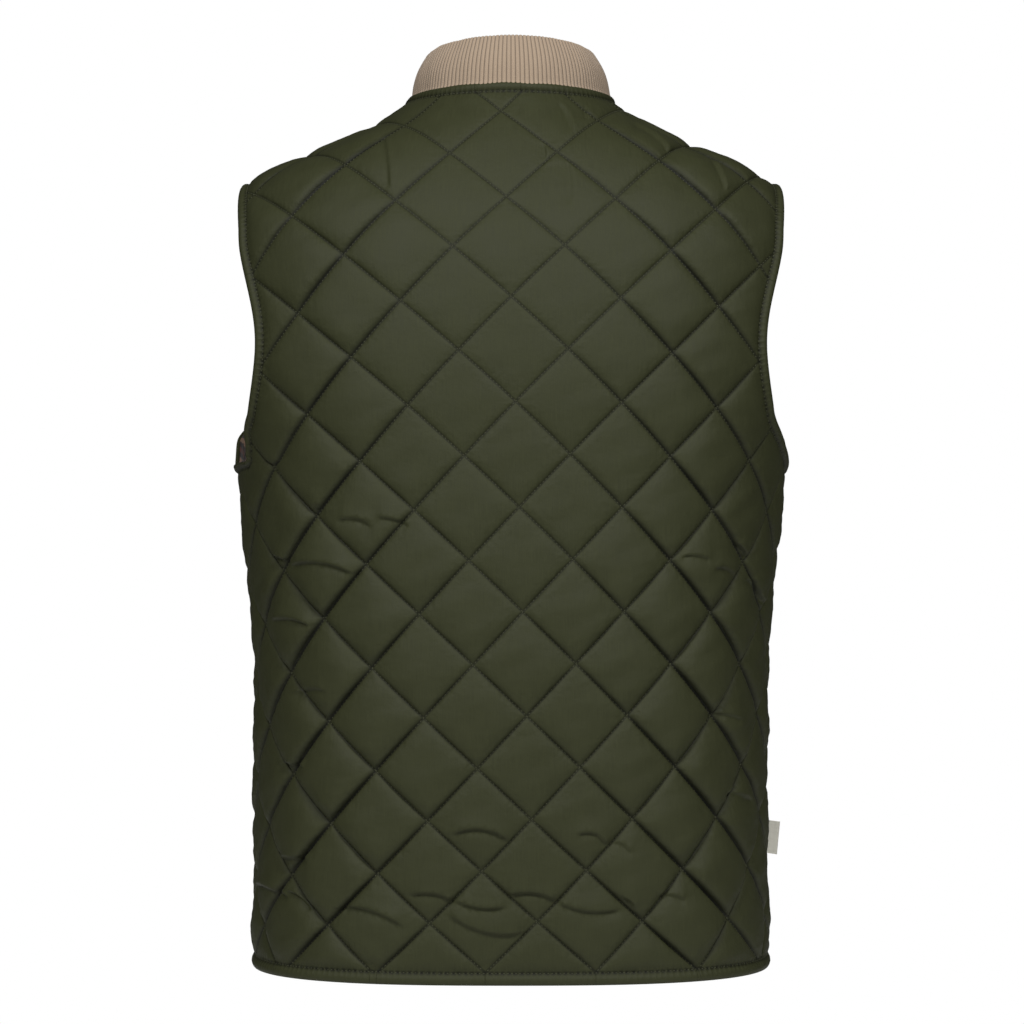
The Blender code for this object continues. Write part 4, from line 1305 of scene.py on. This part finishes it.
def agedMetal():
    made, tree, shader = newMaterial("dark_metal", Metallic=1.0, Roughness=0.38)
    place = objectPlace(tree)
    wear, grain = noise(tree, place, 420.0, 4.0), noise(tree, place, 2600.0, 2.0)
    colour = blend(tree, spread(tree, wear, 0.4, 0.7), metal["dark"], metal["worn"])
    put(tree, shader.inputs["Base Color"], colour)
    put(tree, shader.inputs["Roughness"], spread(tree, wear, 0.3, 0.7, 0.30, 0.52))
    bumpOn(tree, shader, grain, 0.00008, 0.4)
    return made


def dress(piece, made):
    piece.data.materials.clear()
    piece.data.materials.append(made)


oliveMaterial = oliveCloth()
threadMaterial = sewingThread()
ribMaterial = ribKnit()
liningMaterial = checkLining()
metalMaterial = agedMetal()
tapeMaterial = wovenMaterial("zip_tape_weave", (0.020, 0.021, 0.012, 1), (0.045, 0.046, 0.028, 1), 1700.0)
labelMaterial = wovenMaterial("cream_label_weave", (0.55, 0.53, 0.45, 1), (0.70, 0.685, 0.61, 1), 2400.0)
for name in cuts:
    dress(quilted[name], oliveMaterial)
    dress(threads[name], threadMaterial)
    dress(linings[name], liningMaterial)
    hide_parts(name)
    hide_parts("lining_" + name)
dress(collarPiece, ribMaterial)
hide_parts("collar")
for node, tape in tapes.items():
    dress(tape, tapeMaterial)
    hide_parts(node)
dress(teeth, metalMaterial)
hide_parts("zip_chain")
dress(labelPiece, labelMaterial)
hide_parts("side_label")
for node in ("zip_box", "zip_slider", "zip_pull"):
    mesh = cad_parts[node].data
    mesh.materials.clear()
    mesh.materials.append(metalMaterial)

print("pieces dressed")

# studio: pale floor well below the hem, white all round, two large soft lights on the camera's side
studio = dict(floorZ=-0.90, floorRadius=1.2, floorDark=(0.86, 0.86, 0.85, 1),
              floorLight=(0.90, 0.90, 0.89, 1), worldPower=0.045, lampAway=2.8, lampSize=0.8)
softboxes = dict(keyLeft=(-28, 36, 59.0), keyRight=(28, 36, 59.0), front=(180, 6, 85.0))  # turn, rise, power
bm = bmesh.new()
bmesh.ops.create_circle(bm, cap_ends=True, segments=96, radius=studio["floorRadius"],
                        matrix=Matrix.Translation((0, 0, studio["floorZ"])))
floorMesh = bpy.data.meshes.new("floor")
bm.to_mesh(floorMesh)
bm.free()
floor = bpy.data.objects.new("floor", floorMesh)
bpy.context.scene.collection.objects.link(floor)
floorMaterial, floorTree, floorShader = newMaterial("pale_floor", Roughness=0.9)
mottle = noise(floorTree, objectPlace(floorTree), 9.0)
put(floorTree, floorShader.inputs["Base Color"],
    blend(floorTree, mottle, studio["floorDark"], studio["floorLight"]))
floorMesh.materials.append(floorMaterial)
world = bpy.data.worlds.new("studio")
bpy.context.scene.world = world
world.use_nodes = True
tree = world.node_tree
background = tree.nodes["Background"]
background.inputs["Color"].default_value = (1, 1, 1, 1)
seen = add(tree, "LightPath").outputs["Is Camera Ray"]
put(tree, background.inputs["Strength"], spread(tree, seen, 0.0, 1.0, studio["worldPower"], 1.0))
bpy.context.scene.view_settings.view_transform = "Standard"
aim = Vector((0, -0.05, view["place"][2]))
for name, (turn, rise, power) in softboxes.items():
    turn, rise = math.radians(turn), math.radians(rise)
    level = Vector((math.sin(turn), -math.cos(turn), 0)) * math.cos(rise)
    away = (level + Vector((0, 0, math.sin(rise)))) * studio["lampAway"]
    lampData = bpy.data.lights.new(name, "AREA")
    lampData.size, lampData.energy = studio["lampSize"], power
    lamp = bpy.data.objects.new(name, lampData)
    lamp.location = aim + away
    lamp.rotation_euler = (-away).to_track_quat("-Z", "Y").to_euler()
    lamp.visible_camera = False
    bpy.context.scene.collection.objects.link(lamp)
print("studio lit")
